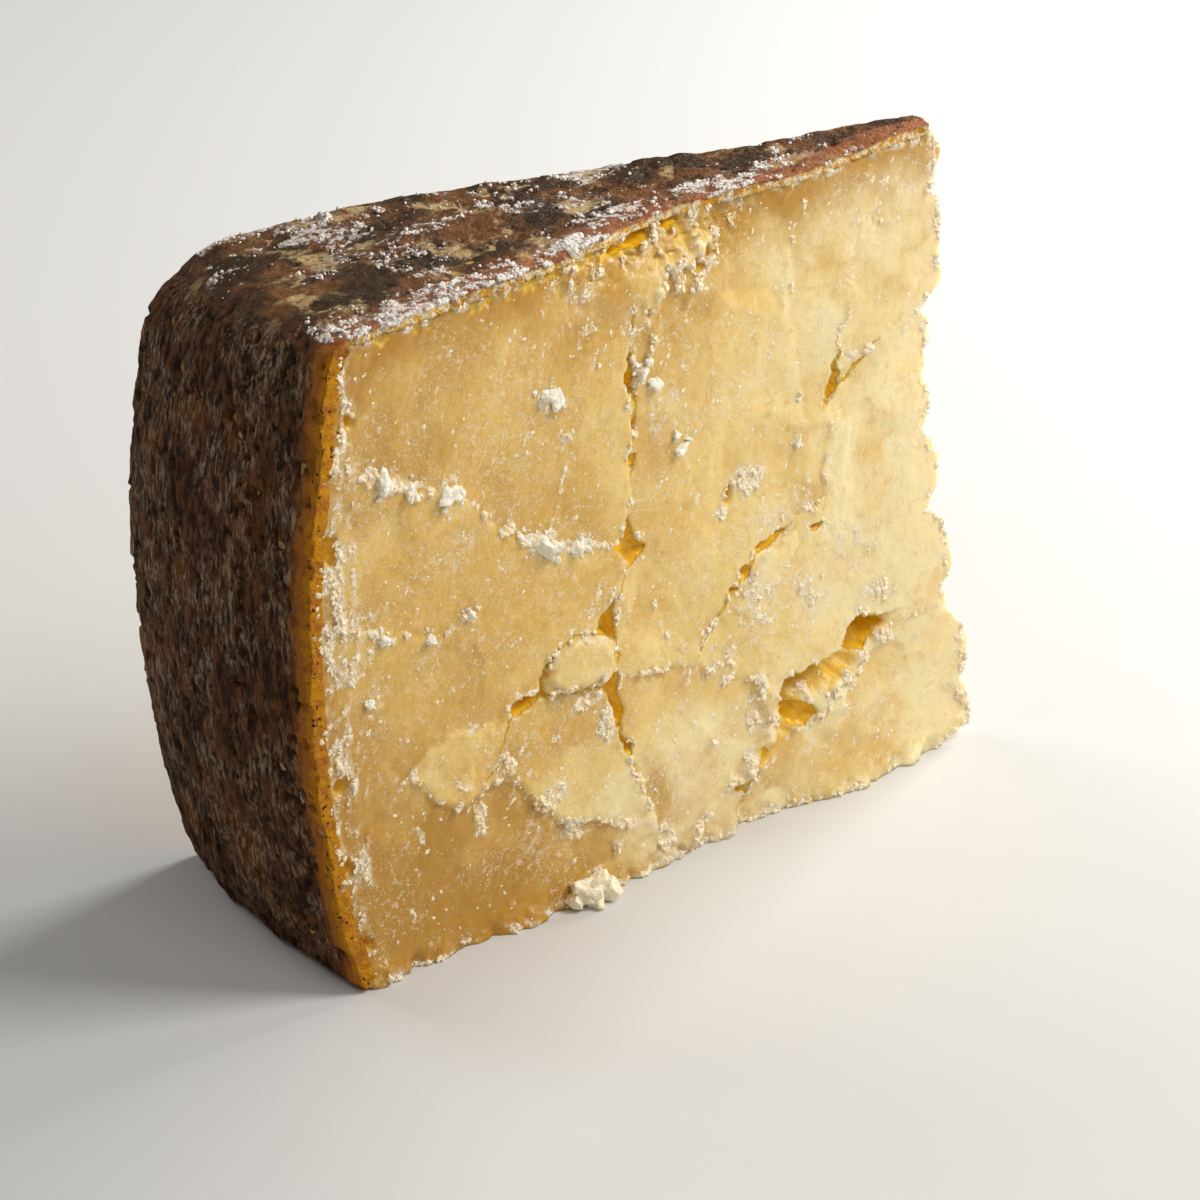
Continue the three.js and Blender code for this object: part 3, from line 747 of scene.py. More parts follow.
FRONT_SEAMS = (
    Seam(((94.0, 66.4), (88.2, 64.7), (83.4, 62.0), (78.4, 59.8), (74.6, 56.9), (70.9, 52.5), (67.1, 49.8),
          (59.3, 46.2), (53.1, 44.9)), chalk=1.0, lip=0.35),
    Seam(((96.0, 47.8), (89.1, 45.0), (80.8, 41.4), (74.6, 43.6)), step=0.2, chalk=0.95, lip=0.3),
    Seam(((49.5, 72.2), (50.4, 65.4), (49.8, 58.0), (50.5, 50.0), (51.0, 45.0)), step=0.25, chalk=0.75),
    Seam(((54.0, 27.5), (47.5, 26.3), (41.4, 24.6), (35.6, 21.8), (29.0, 18.6)), step=-0.18, chalk=1.0,
         lip=0.35),
    Seam(((52.0, 15.8), (49.1, 9.3), (46.4, 2.8)), step=0.35, chalk=1.0, lip=0.4),
    Seam(((71.5, 20.6), (74.0, 19.4), (78.5, 18.8), (81.3, 19.9), (83.4, 22.7), (86.0, 25.0)), step=0.35,
         chalk=0.9),
    Seam(((71.5, 20.8), (68.7, 17.8), (66.1, 14.4), (64.2, 13.2), (62.2, 10.4), (58.0, 10.0), (53.0, 8.0)),
         step=-0.35, chalk=1.0, lip=0.4),
    Seam(((61.2, 8.2), (60.8, 4.6), (58.4, 3.0), (55.4, 3.6), (54.1, 5.6)), step=0.1, chalk=0.8, lip=0.3),
    Seam(((54.4, 27.4), (59.8, 28.8), (64.9, 28.6)), step=0.3, chalk=0.9, lip=0.3),
    Seam(((24.5, 38.6), (18.8, 40.0), (16.8, 50.4)), step=0.2, chalk=0.7),
    Seam(((34.6, 85.0), (36.1, 79.6), (40.2, 77.3), (44.0, 77.6), (44.6, 75.2), (48.0, 73.0)), step=0.6,
         fade=3.0, chalk=1.0, lip=0.45),
    Seam(((23.4, 76.0), (24.6, 68.0), (23.2, 60.0), (21.6, 50.0)), step=0.12, chalk=0.6),
    Seam(((46.8, 35.0), (45.4, 30.4), (47.6, 26.4)), step=0.12, chalk=0.7),
    Seam(((88.0, 24.0), (80.0, 29.0), (70.5, 27.0)), step=0.3, chalk=0.8),
    Seam(((18.4, 9.2), (16.4, 12.6), (12.7, 15.9), (8.3, 17.4)), step=-0.35, chalk=0.7),
    Seam(((61.0, 66.0), (60.0, 58.0), (63.7, 48.4)), step=0.03, chalk=0.65),
)

FRONT_RIDGES = (
    Ridge(((30.6, 18.4, 2.0), (28.6, 15.8, 2.6), (28.6, 12.8, 2.6), (30.2, 10.0, 2.4), (34.0, 6.6, 2.0)),
          1.2, 0.9),
    Ridge(((35.4, 7.6, 1.2), (38.2, 5.0, 1.8), (42.6, 1.4, 2.0)), 0.7, 0.8),
    Ridge(((35.2, 77.6, 0.8), (38.2, 75.6, 1.8), (41.4, 72.0, 0.9)), 0.6, 1.0),
    Ridge(((45.4, 71.2, 0.8), (46.6, 68.4, 1.6), (47.8, 66.4, 0.8)), 0.5, 0.9),
)

FRONT_PLATES = (
    Plate(((56.8, 34.1), (53.9, 31.3), (53.3, 28.6), (56.0, 27.0), (62.5, 28.5), (64.7, 30.8), (62.5, 33.3),
           (59.8, 34.4)), 0.8, 0.5),
    Plate(((50.7, 49.0), (51.9, 44.9), (53.4, 44.2), (51.4, 42.6), (51.3, 40.4), (50.2, 41.6), (47.6, 43.0),
           (49.7, 44.5), (50.4, 46.9)), -1.5),
    Plate(((53.9, 37.8), (57.0, 34.2), (53.1, 32.0)), -1.9),
    Plate(((64.8, 29.4), (68.2, 29.8), (70.3, 28.7), (69.2, 27.4), (66.6, 28.2)), -1.7),
    Plate(((53.9, 28.4), (55.6, 26.8), (54.6, 24.5), (53.2, 20.4), (52.2, 20.2), (52.6, 24.4),
           (53.1, 26.4)), -1.6),
    Plate(((24.4, 38.5), (27.2, 38.1), (30.0, 37.0), (31.4, 36.0), (29.2, 36.0), (26.2, 37.5)), -1.4),
    Plate(((31.2, 35.2), (32.8, 35.3), (33.2, 33.8), (31.8, 33.5)), -1.3),
    Plate(((33.4, 33.3), (34.8, 33.1), (34.4, 32.2), (33.5, 32.4)), -1.0),
    Plate(((19.2, 37.4), (21.8, 37.2), (21.4, 36.2), (19.4, 36.4)), -1.2),
    Plate(((24.0, 37.6), (29.6, 35.6), (34.4, 30.4), (32.2, 27.6), (27.0, 31.8), (23.4, 35.6)), 0.4, 0.5),
    Plate(((49.0, 55.8), (50.6, 56.2), (50.4, 54.0), (49.4, 54.2)), -1.0),
    Plate(((49.6, 67.6), (51.2, 66.4), (50.8, 64.4), (49.6, 63.8), (49.2, 65.6)), -1.3),
    Plate(((30.4, 10.3), (31.4, 10.3), (31.8, 9.5), (31.3, 8.8), (30.4, 8.9), (30.0, 9.6)), -1.1),
    Plate(((51.6, 82.2), (48.0, 83.2), (44.4, 83.2), (44.2, 81.8), (47.4, 81.0), (50.6, 80.8)), -1.8),
    Plate(((42.2, 83.4), (39.6, 83.6), (39.4, 82.4), (41.6, 81.8)), -1.5),
    Plate(((38.0, 78.6), (36.8, 78.9), (36.7, 77.5), (37.7, 77.3)), -1.2),
    Plate(((35.8, 78.9), (34.9, 79.1), (34.8, 78.1), (35.6, 78.0)), -1.0),
    Plate(((46.4, 76.4), (44.4, 76.0), (44.8, 72.6), (46.6, 73.0)), 0.5, 1.0),
    Plate(((43.0, 77.6), (41.0, 77.2), (41.2, 74.0), (42.8, 74.4)), 0.6, 1.0),
    Plate(((39.8, 80.6), (36.6, 80.8), (34.0, 80.0), (35.4, 77.8), (38.8, 77.2)), 0.7, 0.9),
    Plate(((33.2, 6.7), (34.2, 6.8), (34.7, 6.0), (34.3, 5.2), (33.4, 5.1), (32.9, 5.9)), -1.1),
    Plate(((30.2, 6.6), (31.0, 6.5), (31.0, 5.8), (30.3, 5.7)), -0.9),
    Plate(((15.6, 21.4), (13.6, 21.9), (11.6, 21.4), (9.8, 20.6), (8.8, 19.6), (10.0, 18.9), (10.8, 17.9),
           (12.0, 17.6), (13.2, 16.6), (14.8, 17.4), (16.4, 17.2), (17.4, 17.9), (16.0, 19.3)), -1.3),
    Plate(((25.4, 13.3), (24.0, 13.0), (22.8, 13.2), (21.6, 12.3), (20.9, 11.2), (22.0, 10.4), (22.6, 9.5),
           (24.0, 9.9), (25.0, 10.8)), -1.2),
)

# Pits, then pale places, two of which bulge: (from_tip, rise, wide, tall, depth, chalk).
FRONT_PATCHES = tuple(Patch(row[:2], *row[2:]) for row in (
    (38.4, 76.6, 2.0, 1.8, 0.9, 0.0), (93.6, 73.7, 1.6, 2.6, 1.3, 0.0),
    (97.2, 58.1, 2.6, 4.6, 1.5, 0.0), (97.0, 27.5, 2.4, 3.0, 1.7, 0.0),
    (96.3, 16.8, 1.9, 2.6, 1.5, 0.0), (94.8, 5.6, 3.0, 2.6, 1.6, 0.0), (34.3, 45.2, 1.8, 3.6, 1.5, 0.0),
    (31.0, 46.4, 6.0, 4.6, 0.0, 0.95), (35.6, 43.4, 3.4, 3.6, 0.0, 0.7),
    (13.6, 57.6, 3.6, 2.6, 0.0, 0.7), (38.0, 80.2, 6.6, 5.6, 0.0, 0.35),
    (56.0, 79.0, 10.0, 4.0, 0.0, 0.45), (31.0, 46.4, 10.0, 7.0, 0.0, 0.55),
    (48.4, 65.2, 3.2, 4.4, 0.0, 0.8), (30.6, 14.4, 7.0, 10.0, 0.0, 0.55),
    (66.0, 10.0, 13.0, 9.0, 0.0, 0.35), (64.4, 48.7, 7.0, 3.6, 0.0, 0.9),
    (86.8, 63.3, 8.0, 3.4, 0.0, 0.75), (62.6, 66.6, 4.6, 4.0, 0.0, 0.7),
    (91.0, 37.0, 3.4, 4.0, 0.0, 0.6), (82.0, 26.0, 8.0, 6.0, 0.0, 0.3),
    (30.0, 30.0, 7.5, 15.0, 0.0, 0.58), (22.0, 28.0, 11.0, 12.0, 0.0, 0.52),
    (14.0, 32.0, 11.0, 11.0, 0.0, 0.48), (12.0, 24.0, 12.0, 6.0, 0.0, 0.6),
    (26.0, 40.0, 14.0, 9.0, 0.0, 0.42), (45.0, 60.0, 9.0, 12.0, 0.0, 0.42),
    (20.0, 12.0, 12.0, 12.0, 0.0, 0.4), (40.0, 38.0, 10.0, 12.0, 0.0, 0.34),
    (78.0, 52.0, 14.0, 8.0, 0.0, 0.35), (31.6, 8.4, 7.0, 7.0, 0.0, 0.8),
    (28.8, 12.4, 5.0, 6.0, 0.0, 0.75), (19.0, 11.0, 5.0, 9.0, -0.5, 0.55),
    (13.0, 9.0, 9.0, 10.0, -0.6, 0.35), (55.0, 22.0, 5.0, 8.0, 0.0, 0.7),
    (58.0, 25.6, 8.0, 3.0, 0.0, 0.6), (37.0, 24.0, 9.0, 7.0, 0.0, 0.5),
    (42.0, 12.0, 9.0, 8.0, 0.0, 0.4), (75.4, 15.8, 3.4, 6.4, 0.0, 0.8),
    (70.8, 21.8, 2.8, 4.0, 0.0, 0.85), (63.6, 15.4, 7.0, 5.0, 0.0, 0.55),
    (60.0, 9.4, 6.0, 4.0, 0.0, 0.6), (78.0, 22.0, 5.0, 3.0, 0.0, 0.5),
))

BACK_CRACKS = (
    # Main back crack.
    Crack(3.4, (
        (42.0, 66.0, 0.3), (43.4, 58.6, 1.5), (42.2, 51.0, 0.5), (44.6, 44.2, 2.3), (48.8, 39.0, 0.6),
        (54.6, 35.2, 2.5), (61.0, 31.8, 0.3),
    )),
    # Lower back crack.
    Crack(3.4, ((70.8, 27.4, 0.3), (67.0, 22.6, 2.2), (66.4, 17.4, 1.0), (62.8, 11.0, 0.3))),
    # Slanting back crack.
    Crack(2.6, ((20.0, 46.6, 0.3), (23.4, 41.0, 1.8), (28.6, 37.4, 0.8), (31.8, 31.4, 0.3))),
)

BACK_SEAMS = (
    Seam(((94.0, 52.0), (80.0, 47.0), (64.0, 50.0), (46.0, 44.0)), chalk=0.8),
    Seam(((61.0, 31.8), (74.0, 26.0), (92.0, 29.0)), chalk=0.8),
    Seam(((42.0, 66.0), (40.6, 74.0), (44.0, 84.0)), step=0.2, chalk=0.7),
    Seam(((31.8, 31.4), (40.0, 20.0), (38.0, 2.0)), step=0.4, chalk=0.9, lip=0.3),
    Seam(((20.0, 46.6), (12.0, 58.0), (14.0, 74.0)), step=0.2, chalk=0.6),
)


@dataclass(frozen=True)
class TipEdge:
    """The thin edge of the wedge, broken into rounded lobes: (rise, half height, reach)."""

    lobes: tuple[tuple[float, float, float], ...] = (
        (79.5, 5.0, 1.1), (69.8, 4.5, 1.9), (64.2, 3.5, 1.2), (56.0, 5.0, -0.5), (47.0, 3.5, -0.5),
        (38.0, 5.0, 0.5), (26.0, 4.5, 2.7), (19.4, 2.5, 1.9), (12.2, 4.5, 5.0), (4.4, 4.0, 5.2),
    )
    roundness: float = 1.7
    deepest_notch: float = -2.0
    widest_through: float = 0.4
    bevel: float = 1.2
    spread: int = 6
    chip_rise: float = 2.0
    chip_length: float = 3.0

    def reach(self, rise: Array, through: Array) -> Array:
        """How far the edge stands past its plane at a height."""
        reach = np.full(rise.shape, self.deepest_notch)
        for middle, half, most in self.lobes:
            reach = np.maximum(reach, most - self.roundness * ((rise - middle) / half) ** 2)
        lumps = 0.7 * rough_noise(rise / 2.6, through * 1.3, 5.5, 2, 60) + 0.3
        grains = 0.35 * smooth_noise(rise / 1.1, through * 3.2, 1.5, 63)
        return reach + lumps + grains - np.abs(through - self.widest_through) * self.bevel

    def push(self, outward: Array, through: Array, rise: Array) -> Array:
        """The reach at any point of the wedge: it fades away from the edge."""
        return self.reach(rise, through) * (1 - outward) ** self.spread

    def chip(self, from_tip: Array, rise: Array) -> Array:
        """How far the edge's foot is lifted where its underside has broken away."""
        low = np.clip(1 - rise / (3 * self.chip_rise), 0, 1) ** 2
        return self.chip_rise * hump(from_tip, 0, self.chip_length) * low


# ---------------------------------------------------------------- meshes


def select_only(*pieces: bpy.types.Object) -> None:
    """Selects these objects alone; the first one becomes the active object."""
    bpy.ops.object.select_all(action="DESELECT")
    for piece in pieces:
        piece.select_set(True)
    bpy.context.view_layer.objects.active = pieces[0]


def corners_of(piece: bpy.types.Object) -> Array:
    """Reads the corners of a mesh as rows of x, y, z."""
    flat = np.empty(len(piece.data.vertices) * 3)
    piece.data.vertices.foreach_get("co", flat)
    return flat.reshape(-1, 3)


def reshape(piece: bpy.types.Object, shape: Shaper) -> None:
    """Moves a mesh's corners and stores the numbers that the piece's finish reads.

    Args:
        piece: The object.
        shape: Gives the corners' new places, and a number for each corner by its name.
    """
    places, numbers = shape(corners_of(piece))
    piece.data.vertices.foreach_set("co", places.astype(np.float32).ravel())
    piece.data.update()
    for name, values in numbers.items():
        attribute = piece.data.attributes.new(name, "FLOAT", "POINT")
        attribute.data.foreach_set("value", values.astype(np.float32))


def dress(piece: bpy.types.Object, material: bpy.types.Material) -> None:
    """Gives a piece its finish, hangs it from the body and hides the CAD part that it stands for."""
    piece.data.materials.clear()
    piece.data.materials.append(material)
    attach(piece, BODY)
    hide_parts(NODE)


@dataclass(frozen=True)
class GridBox:
    """A closed box of small faces, a unit across, whose corners are then moved one by one."""

    cells: tuple[int, int, int]
    finer: tuple[Side, ...]
    at_side: float = 0.4999
    weld: float = 1e-5

    def add_side(self, side: Side) -> bpy.types.Object:
        """Adds one side as a grid that faces outwards."""
        axis, direction = side.value
        along_x, along_y, along_z = self.cells
        counts = ((along_z, along_y), (along_x, along_z), (along_x, along_y))[axis]
        quarter = math.pi / 2
        turn = (
            (0.0, direction * quarter, 0.0),
            (-direction * quarter, 0.0, 0.0),
            (0.0 if direction > 0 else math.pi, 0.0, 0.0),
        )[axis]
        middle = [0.0, 0.0, 0.0]
        middle[axis] = direction / 2
        bpy.ops.mesh.primitive_grid_add(
            x_subdivisions=counts[0], y_subdivisions=counts[1], size=1, location=middle, rotation=turn
        )
        return bpy.context.active_object

    def subdivide_side(self, box: bpy.types.Object, side: Side) -> None:
        """Splits each face of one side into four."""
        axis, direction = side.value
        bpy.ops.object.mode_set(mode="EDIT")
        bpy.ops.mesh.select_mode(type="FACE")
        bpy.ops.mesh.select_all(action="DESELECT")
        bpy.ops.object.mode_set(mode="OBJECT")
        faces = box.data.polygons
        centres = np.empty(len(faces) * 3)
        faces.foreach_get("center", centres)
        on_side = centres.reshape(-1, 3)[:, axis] * direction > self.at_side
        faces.foreach_set("select", on_side)
        bpy.ops.object.mode_set(mode="EDIT")
        bpy.ops.mesh.subdivide(number_cuts=1)
        bpy.ops.object.mode_set(mode="OBJECT")

    def build(self, name: str) -> bpy.types.Object:
        """Joins the six sides into one closed mesh.

        Args:
            name: The name of the new object.

        Returns:
            The object, a unit box about the origin.
        """
        sides = [self.add_side(side) for side in Side]
        select_only(*sides)
        bpy.ops.object.join()
        box = bpy.context.active_object
        bpy.ops.object.transform_apply(location=True, rotation=True, scale=True)
        bpy.ops.object.mode_set(mode="EDIT")
        bpy.ops.mesh.select_all(action="SELECT")
        bpy.ops.mesh.remove_doubles(threshold=self.weld)
        bpy.ops.mesh.normals_make_consistent(inside=False)
        bpy.ops.object.mode_set(mode="OBJECT")
        for side in self.finer:
            self.subdivide_side(box, side)
        box.name = name
        box.data.name = name
        select_only(box)
        bpy.ops.object.shade_smooth()
        return box


@dataclass(frozen=True)
class Scatter:
    """Many small lumps in one mesh: their middles, half sizes and turns, in millimetres."""

    places: Array
    halves: Array
    turns: Array
    uneven: float
    facets: int = 0
    uncut_reach: float = 1.15
    nearest_face: float = 0.62
    furthest_face: float = 0.95
    lump_grain: float = 1.7
    corner_share: float = 0.3
    lowest: float = 0.02

    def broken_faces(self, corners: Array, draw: np.random.Generator) -> Array:
        """How far each corner of each lump reaches when flat faces are broken off all round."""
        count = len(self.places)
        reach = np.full((count, len(corners)), self.uncut_reach)
        for _ in range(self.facets):
            normal = draw.normal(size=(count, 3))
            normal /= np.linalg.norm(normal, axis=1, keepdims=True)
            facing = np.maximum(normal @ corners.T, 0.05)
            face = draw.uniform(self.nearest_face, self.furthest_face, (count, 1))
            reach = np.minimum(reach, face / facing)
        return reach

    def build(self, name: str, splits: int, draw: np.random.Generator) -> bpy.types.Object:
        """Copies one rough ball to every place.

        Args:
            name: The name of the new object.
            splits: How finely the ball is split; 1 gives it 20 faces.
            draw: Where the uneven corners are drawn from.

        Returns:
            The object, whose mesh holds every lump.
        """
        bpy.ops.mesh.primitive_ico_sphere_add(subdivisions=splits, radius=1)
        ball = bpy.context.active_object
        corners = corners_of(ball)
        triangles = np.array([face.vertices[:] for face in ball.data.polygons])
        count, size = len(self.places), len(corners)
        spots = corners[None] * self.lump_grain + draw.uniform(0, 99, (count, 1, 3))
        lumps = rough_noise(*np.moveaxis(spots, 2, 0), 2, 150)
        rough = self.corner_share * draw.uniform(-1, 1, (count, size))
        shape = 1 + self.uneven * (2 * lumps + rough)
        shape = shape * self.broken_faces(corners, draw)
        local = corners[None] * shape[..., None] * self.halves[:, None, :]
        placed = np.einsum("nij,nkj->nki", self.turns, local) + self.places[:, None, :]
        placed[..., 2] = np.maximum(placed[..., 2], self.lowest)
        faces = triangles[None] + (np.arange(count) * size)[:, None, None]
        mesh = bpy.data.meshes.new(name)
        mesh.vertices.add(count * size)
        mesh.vertices.foreach_set("co", (placed * MM).astype(np.float32).ravel())
        mesh.loops.add(faces.size)
        mesh.loops.foreach_set("vertex_index", faces.astype(np.int32).ravel())
        mesh.polygons.add(faces.size // 3)
        mesh.polygons.foreach_set("loop_start", np.arange(0, faces.size, 3, dtype=np.int32))
        mesh.update(calc_edges=True)
        mesh.validate()
        ball.data = mesh
        ball.name = name
        select_only(ball)
        bpy.ops.object.shade_smooth()
        return ball


def random_turns(count: int, draw: np.random.Generator) -> Array:
    """Turns in every direction, as 3x3 matrices."""
    w, x, y, z = draw.normal(size=(count, 4)).T
    length = np.sqrt(w * w + x * x + y * y + z * z)
    w, x, y, z = w / length, x / length, y / length, z / length
    return np.stack(
        [
            np.stack([1 - 2 * (y * y + z * z), 2 * (x * y - z * w), 2 * (x * z + y * w)], 1),
            np.stack([2 * (x * y + z * w), 1 - 2 * (x * x + z * z), 2 * (y * z - x * w)], 1),
            np.stack([2 * (x * z - y * w), 2 * (y * z + x * w), 1 - 2 * (x * x + y * y)], 1),
        ],
        1,
    )


def leaning_turns(count: int, lean: float, draw: np.random.Generator) -> Array:
    """Turns about the Y axis alone, by at most the lean to either side."""
    angle = draw.uniform(-lean, lean, count)
    cos, sin, zero, one = np.cos(angle), np.sin(angle), np.zeros(count), np.ones(count)
    rows = ((cos, zero, sin), (zero, one, zero), (-sin, zero, cos))
    return np.stack([np.stack(row, 1) for row in rows], 1)


# ---------------------------------------------------------------- finishes

Colour = tuple[float, float, float]
Span = tuple[float, float]
Socket = bpy.types.NodeSocket
Input = Socket | float | Colour


@dataclass(frozen=True)
class Spots:
    """Spots in a finish, read from noise.

    Grain is their size in millimetres; detail, rough and bend are the noise's own. A spot
    starts and is full where the noise passes these values, and strength is how much it covers.
    """

    grain: float
    detail: float
    rough: float
    start: float
    full: float
    strength: float = 1.0
    bend: float = 0.0


class NodeBoard:
    """A material's nodes, added by calls that each return the new node's output."""

    def __init__(self, name: str) -> None:
        """Starts a material with one principled shader."""
        self.material = bpy.data.materials.new(name)
        self.material.use_nodes = True
        self.tree = self.material.node_tree
        self.tree.nodes.clear()
        output = self.tree.nodes.new("ShaderNodeOutputMaterial")
        self.shader = self.tree.nodes.new("ShaderNodeBsdfPrincipled")
        self.tree.links.new(self.shader.outputs["BSDF"], output.inputs["Surface"])
        self.spot = self.tree.nodes.new("ShaderNodeTexCoord").outputs["Object"]

    def feed(self, target: Socket, value: Input) -> None:
        """Links a socket to an output, or sets it to a number or a colour."""
        if isinstance(value, bpy.types.NodeSocket):
            self.tree.links.new(value, target)
        elif isinstance(value, tuple) and target.type == "RGBA":
            target.default_value = (*value, 1.0)
        else:
            target.default_value = value

    def set_shader(self, **values: Input) -> None:
        """Sets the shader's sockets; an underscore in a name stands for a space."""
        for name, value in values.items():
            self.feed(self.shader.inputs[name.replace("_", " ")], value)

    def attribute(self, name: str) -> Socket:
        """Reads one of the mesh's own numbers."""
        node = self.tree.nodes.new("ShaderNodeAttribute")
        node.attribute_name = name
        return node.outputs["Fac"]

    def stretched(self, x: float, y: float, z: float) -> Socket:
        """Object coordinates with each axis drawn together by its factor."""
        node = self.tree.nodes.new("ShaderNodeMapping")
        node.inputs["Scale"].default_value = (x, y, z)
        self.feed(node.inputs["Vector"], self.spot)
        return node.outputs["Vector"]

    def noise(self, grain: float, detail: float, rough: float, spot: Socket | None = None,
              bend: float = 0.0) -> Socket:
        """Noise between 0 and 1 with humps of a size in millimetres."""
        node = self.tree.nodes.new("ShaderNodeTexNoise")
        self.feed(node.inputs["Vector"], spot or self.spot)
        node.inputs["Scale"].default_value = 1 / (grain * MM)
        node.inputs["Detail"].default_value = detail
        node.inputs["Roughness"].default_value = rough
        node.inputs["Distortion"].default_value = bend
        return node.outputs["Fac"]

    def centred(self, grain: float, detail: float, rough: float, bend: float = 0.0) -> Socket:
        """Noise between -0.5 and 0.5."""
        return self.minus(self.noise(grain, detail, rough, bend=bend), 0.5)

    def math(self, kind: str, first: Input, second: Input) -> Socket:
        """Joins two numbers."""
        node = self.tree.nodes.new("ShaderNodeMath")
        node.operation = kind
        self.feed(node.inputs[0], first)
        self.feed(node.inputs[1], second)
        return node.outputs["Value"]

    def plus(self, first: Input, second: Input) -> Socket:
        """Adds two numbers."""
        return self.math("ADD", first, second)

    def minus(self, first: Input, second: Input) -> Socket:
        """Takes the second number from the first."""
        return self.math("SUBTRACT", first, second)

    def times(self, first: Input, second: Input) -> Socket:
        """Multiplies two numbers."""
        return self.math("MULTIPLY", first, second)

    def larger(self, first: Input, second: Input) -> Socket:
        """The larger of two numbers."""
        return self.math("MAXIMUM", first, second)

    def size_of(self, value: Input) -> Socket:
        """A number without its sign."""
        return self.math("ABSOLUTE", value, 0.0)

    def between(self, value: Socket, source: Span, target: Span, kind: str = "LINEAR") -> Socket:
        """Goes from one end of the target to the other as the value crosses the source."""
        node = self.tree.nodes.new("ShaderNodeMapRange")
        node.interpolation_type = kind
        self.feed(node.inputs["Value"], value)
        node.inputs["From Min"].default_value, node.inputs["From Max"].default_value = source
        node.inputs["To Min"].default_value, node.inputs["To Max"].default_value = target
        return node.outputs["Result"]

    def window(self, value: Socket, low: float, high: float) -> Socket:
        """Rises smoothly from 0 at low to 1 at high, or falls where low is the greater."""
        target = (1.0, 0.0) if low > high else (0.0, 1.0)
        return self.between(value, (min(low, high), max(low, high)), target, "SMOOTHSTEP")

    def show(self, spots: Spots, place: Socket | None = None) -> Socket:
        """How much the spots cover: 0 between them, and their strength on them."""
        noise = self.noise(spots.grain, spots.detail, spots.rough, place, spots.bend)
        return self.times(self.window(noise, spots.start, spots.full), spots.strength)

    def mix(self, share: Input, first: Input, second: Input) -> Socket:
        """Mixes two colours."""
        node = self.tree.nodes.new("ShaderNodeMix")
        node.data_type = "RGBA"
        self.feed(node.inputs[0], share)
        self.feed(node.inputs[6], first)
        self.feed(node.inputs[7], second)
        return node.outputs[2]

    def bump(self, height: Socket, size: float, below: Socket | None = None) -> Socket:
        """A normal that leans as if the height stood out by a size in millimetres."""
        node = self.tree.nodes.new("ShaderNodeBump")
        node.inputs["Strength"].default_value = 1.0
        node.inputs["Distance"].default_value = size * MM
        self.feed(node.inputs["Height"], height)
        if below is not None:
            self.feed(node.inputs["Normal"], below)
        return node.outputs["Normal"]


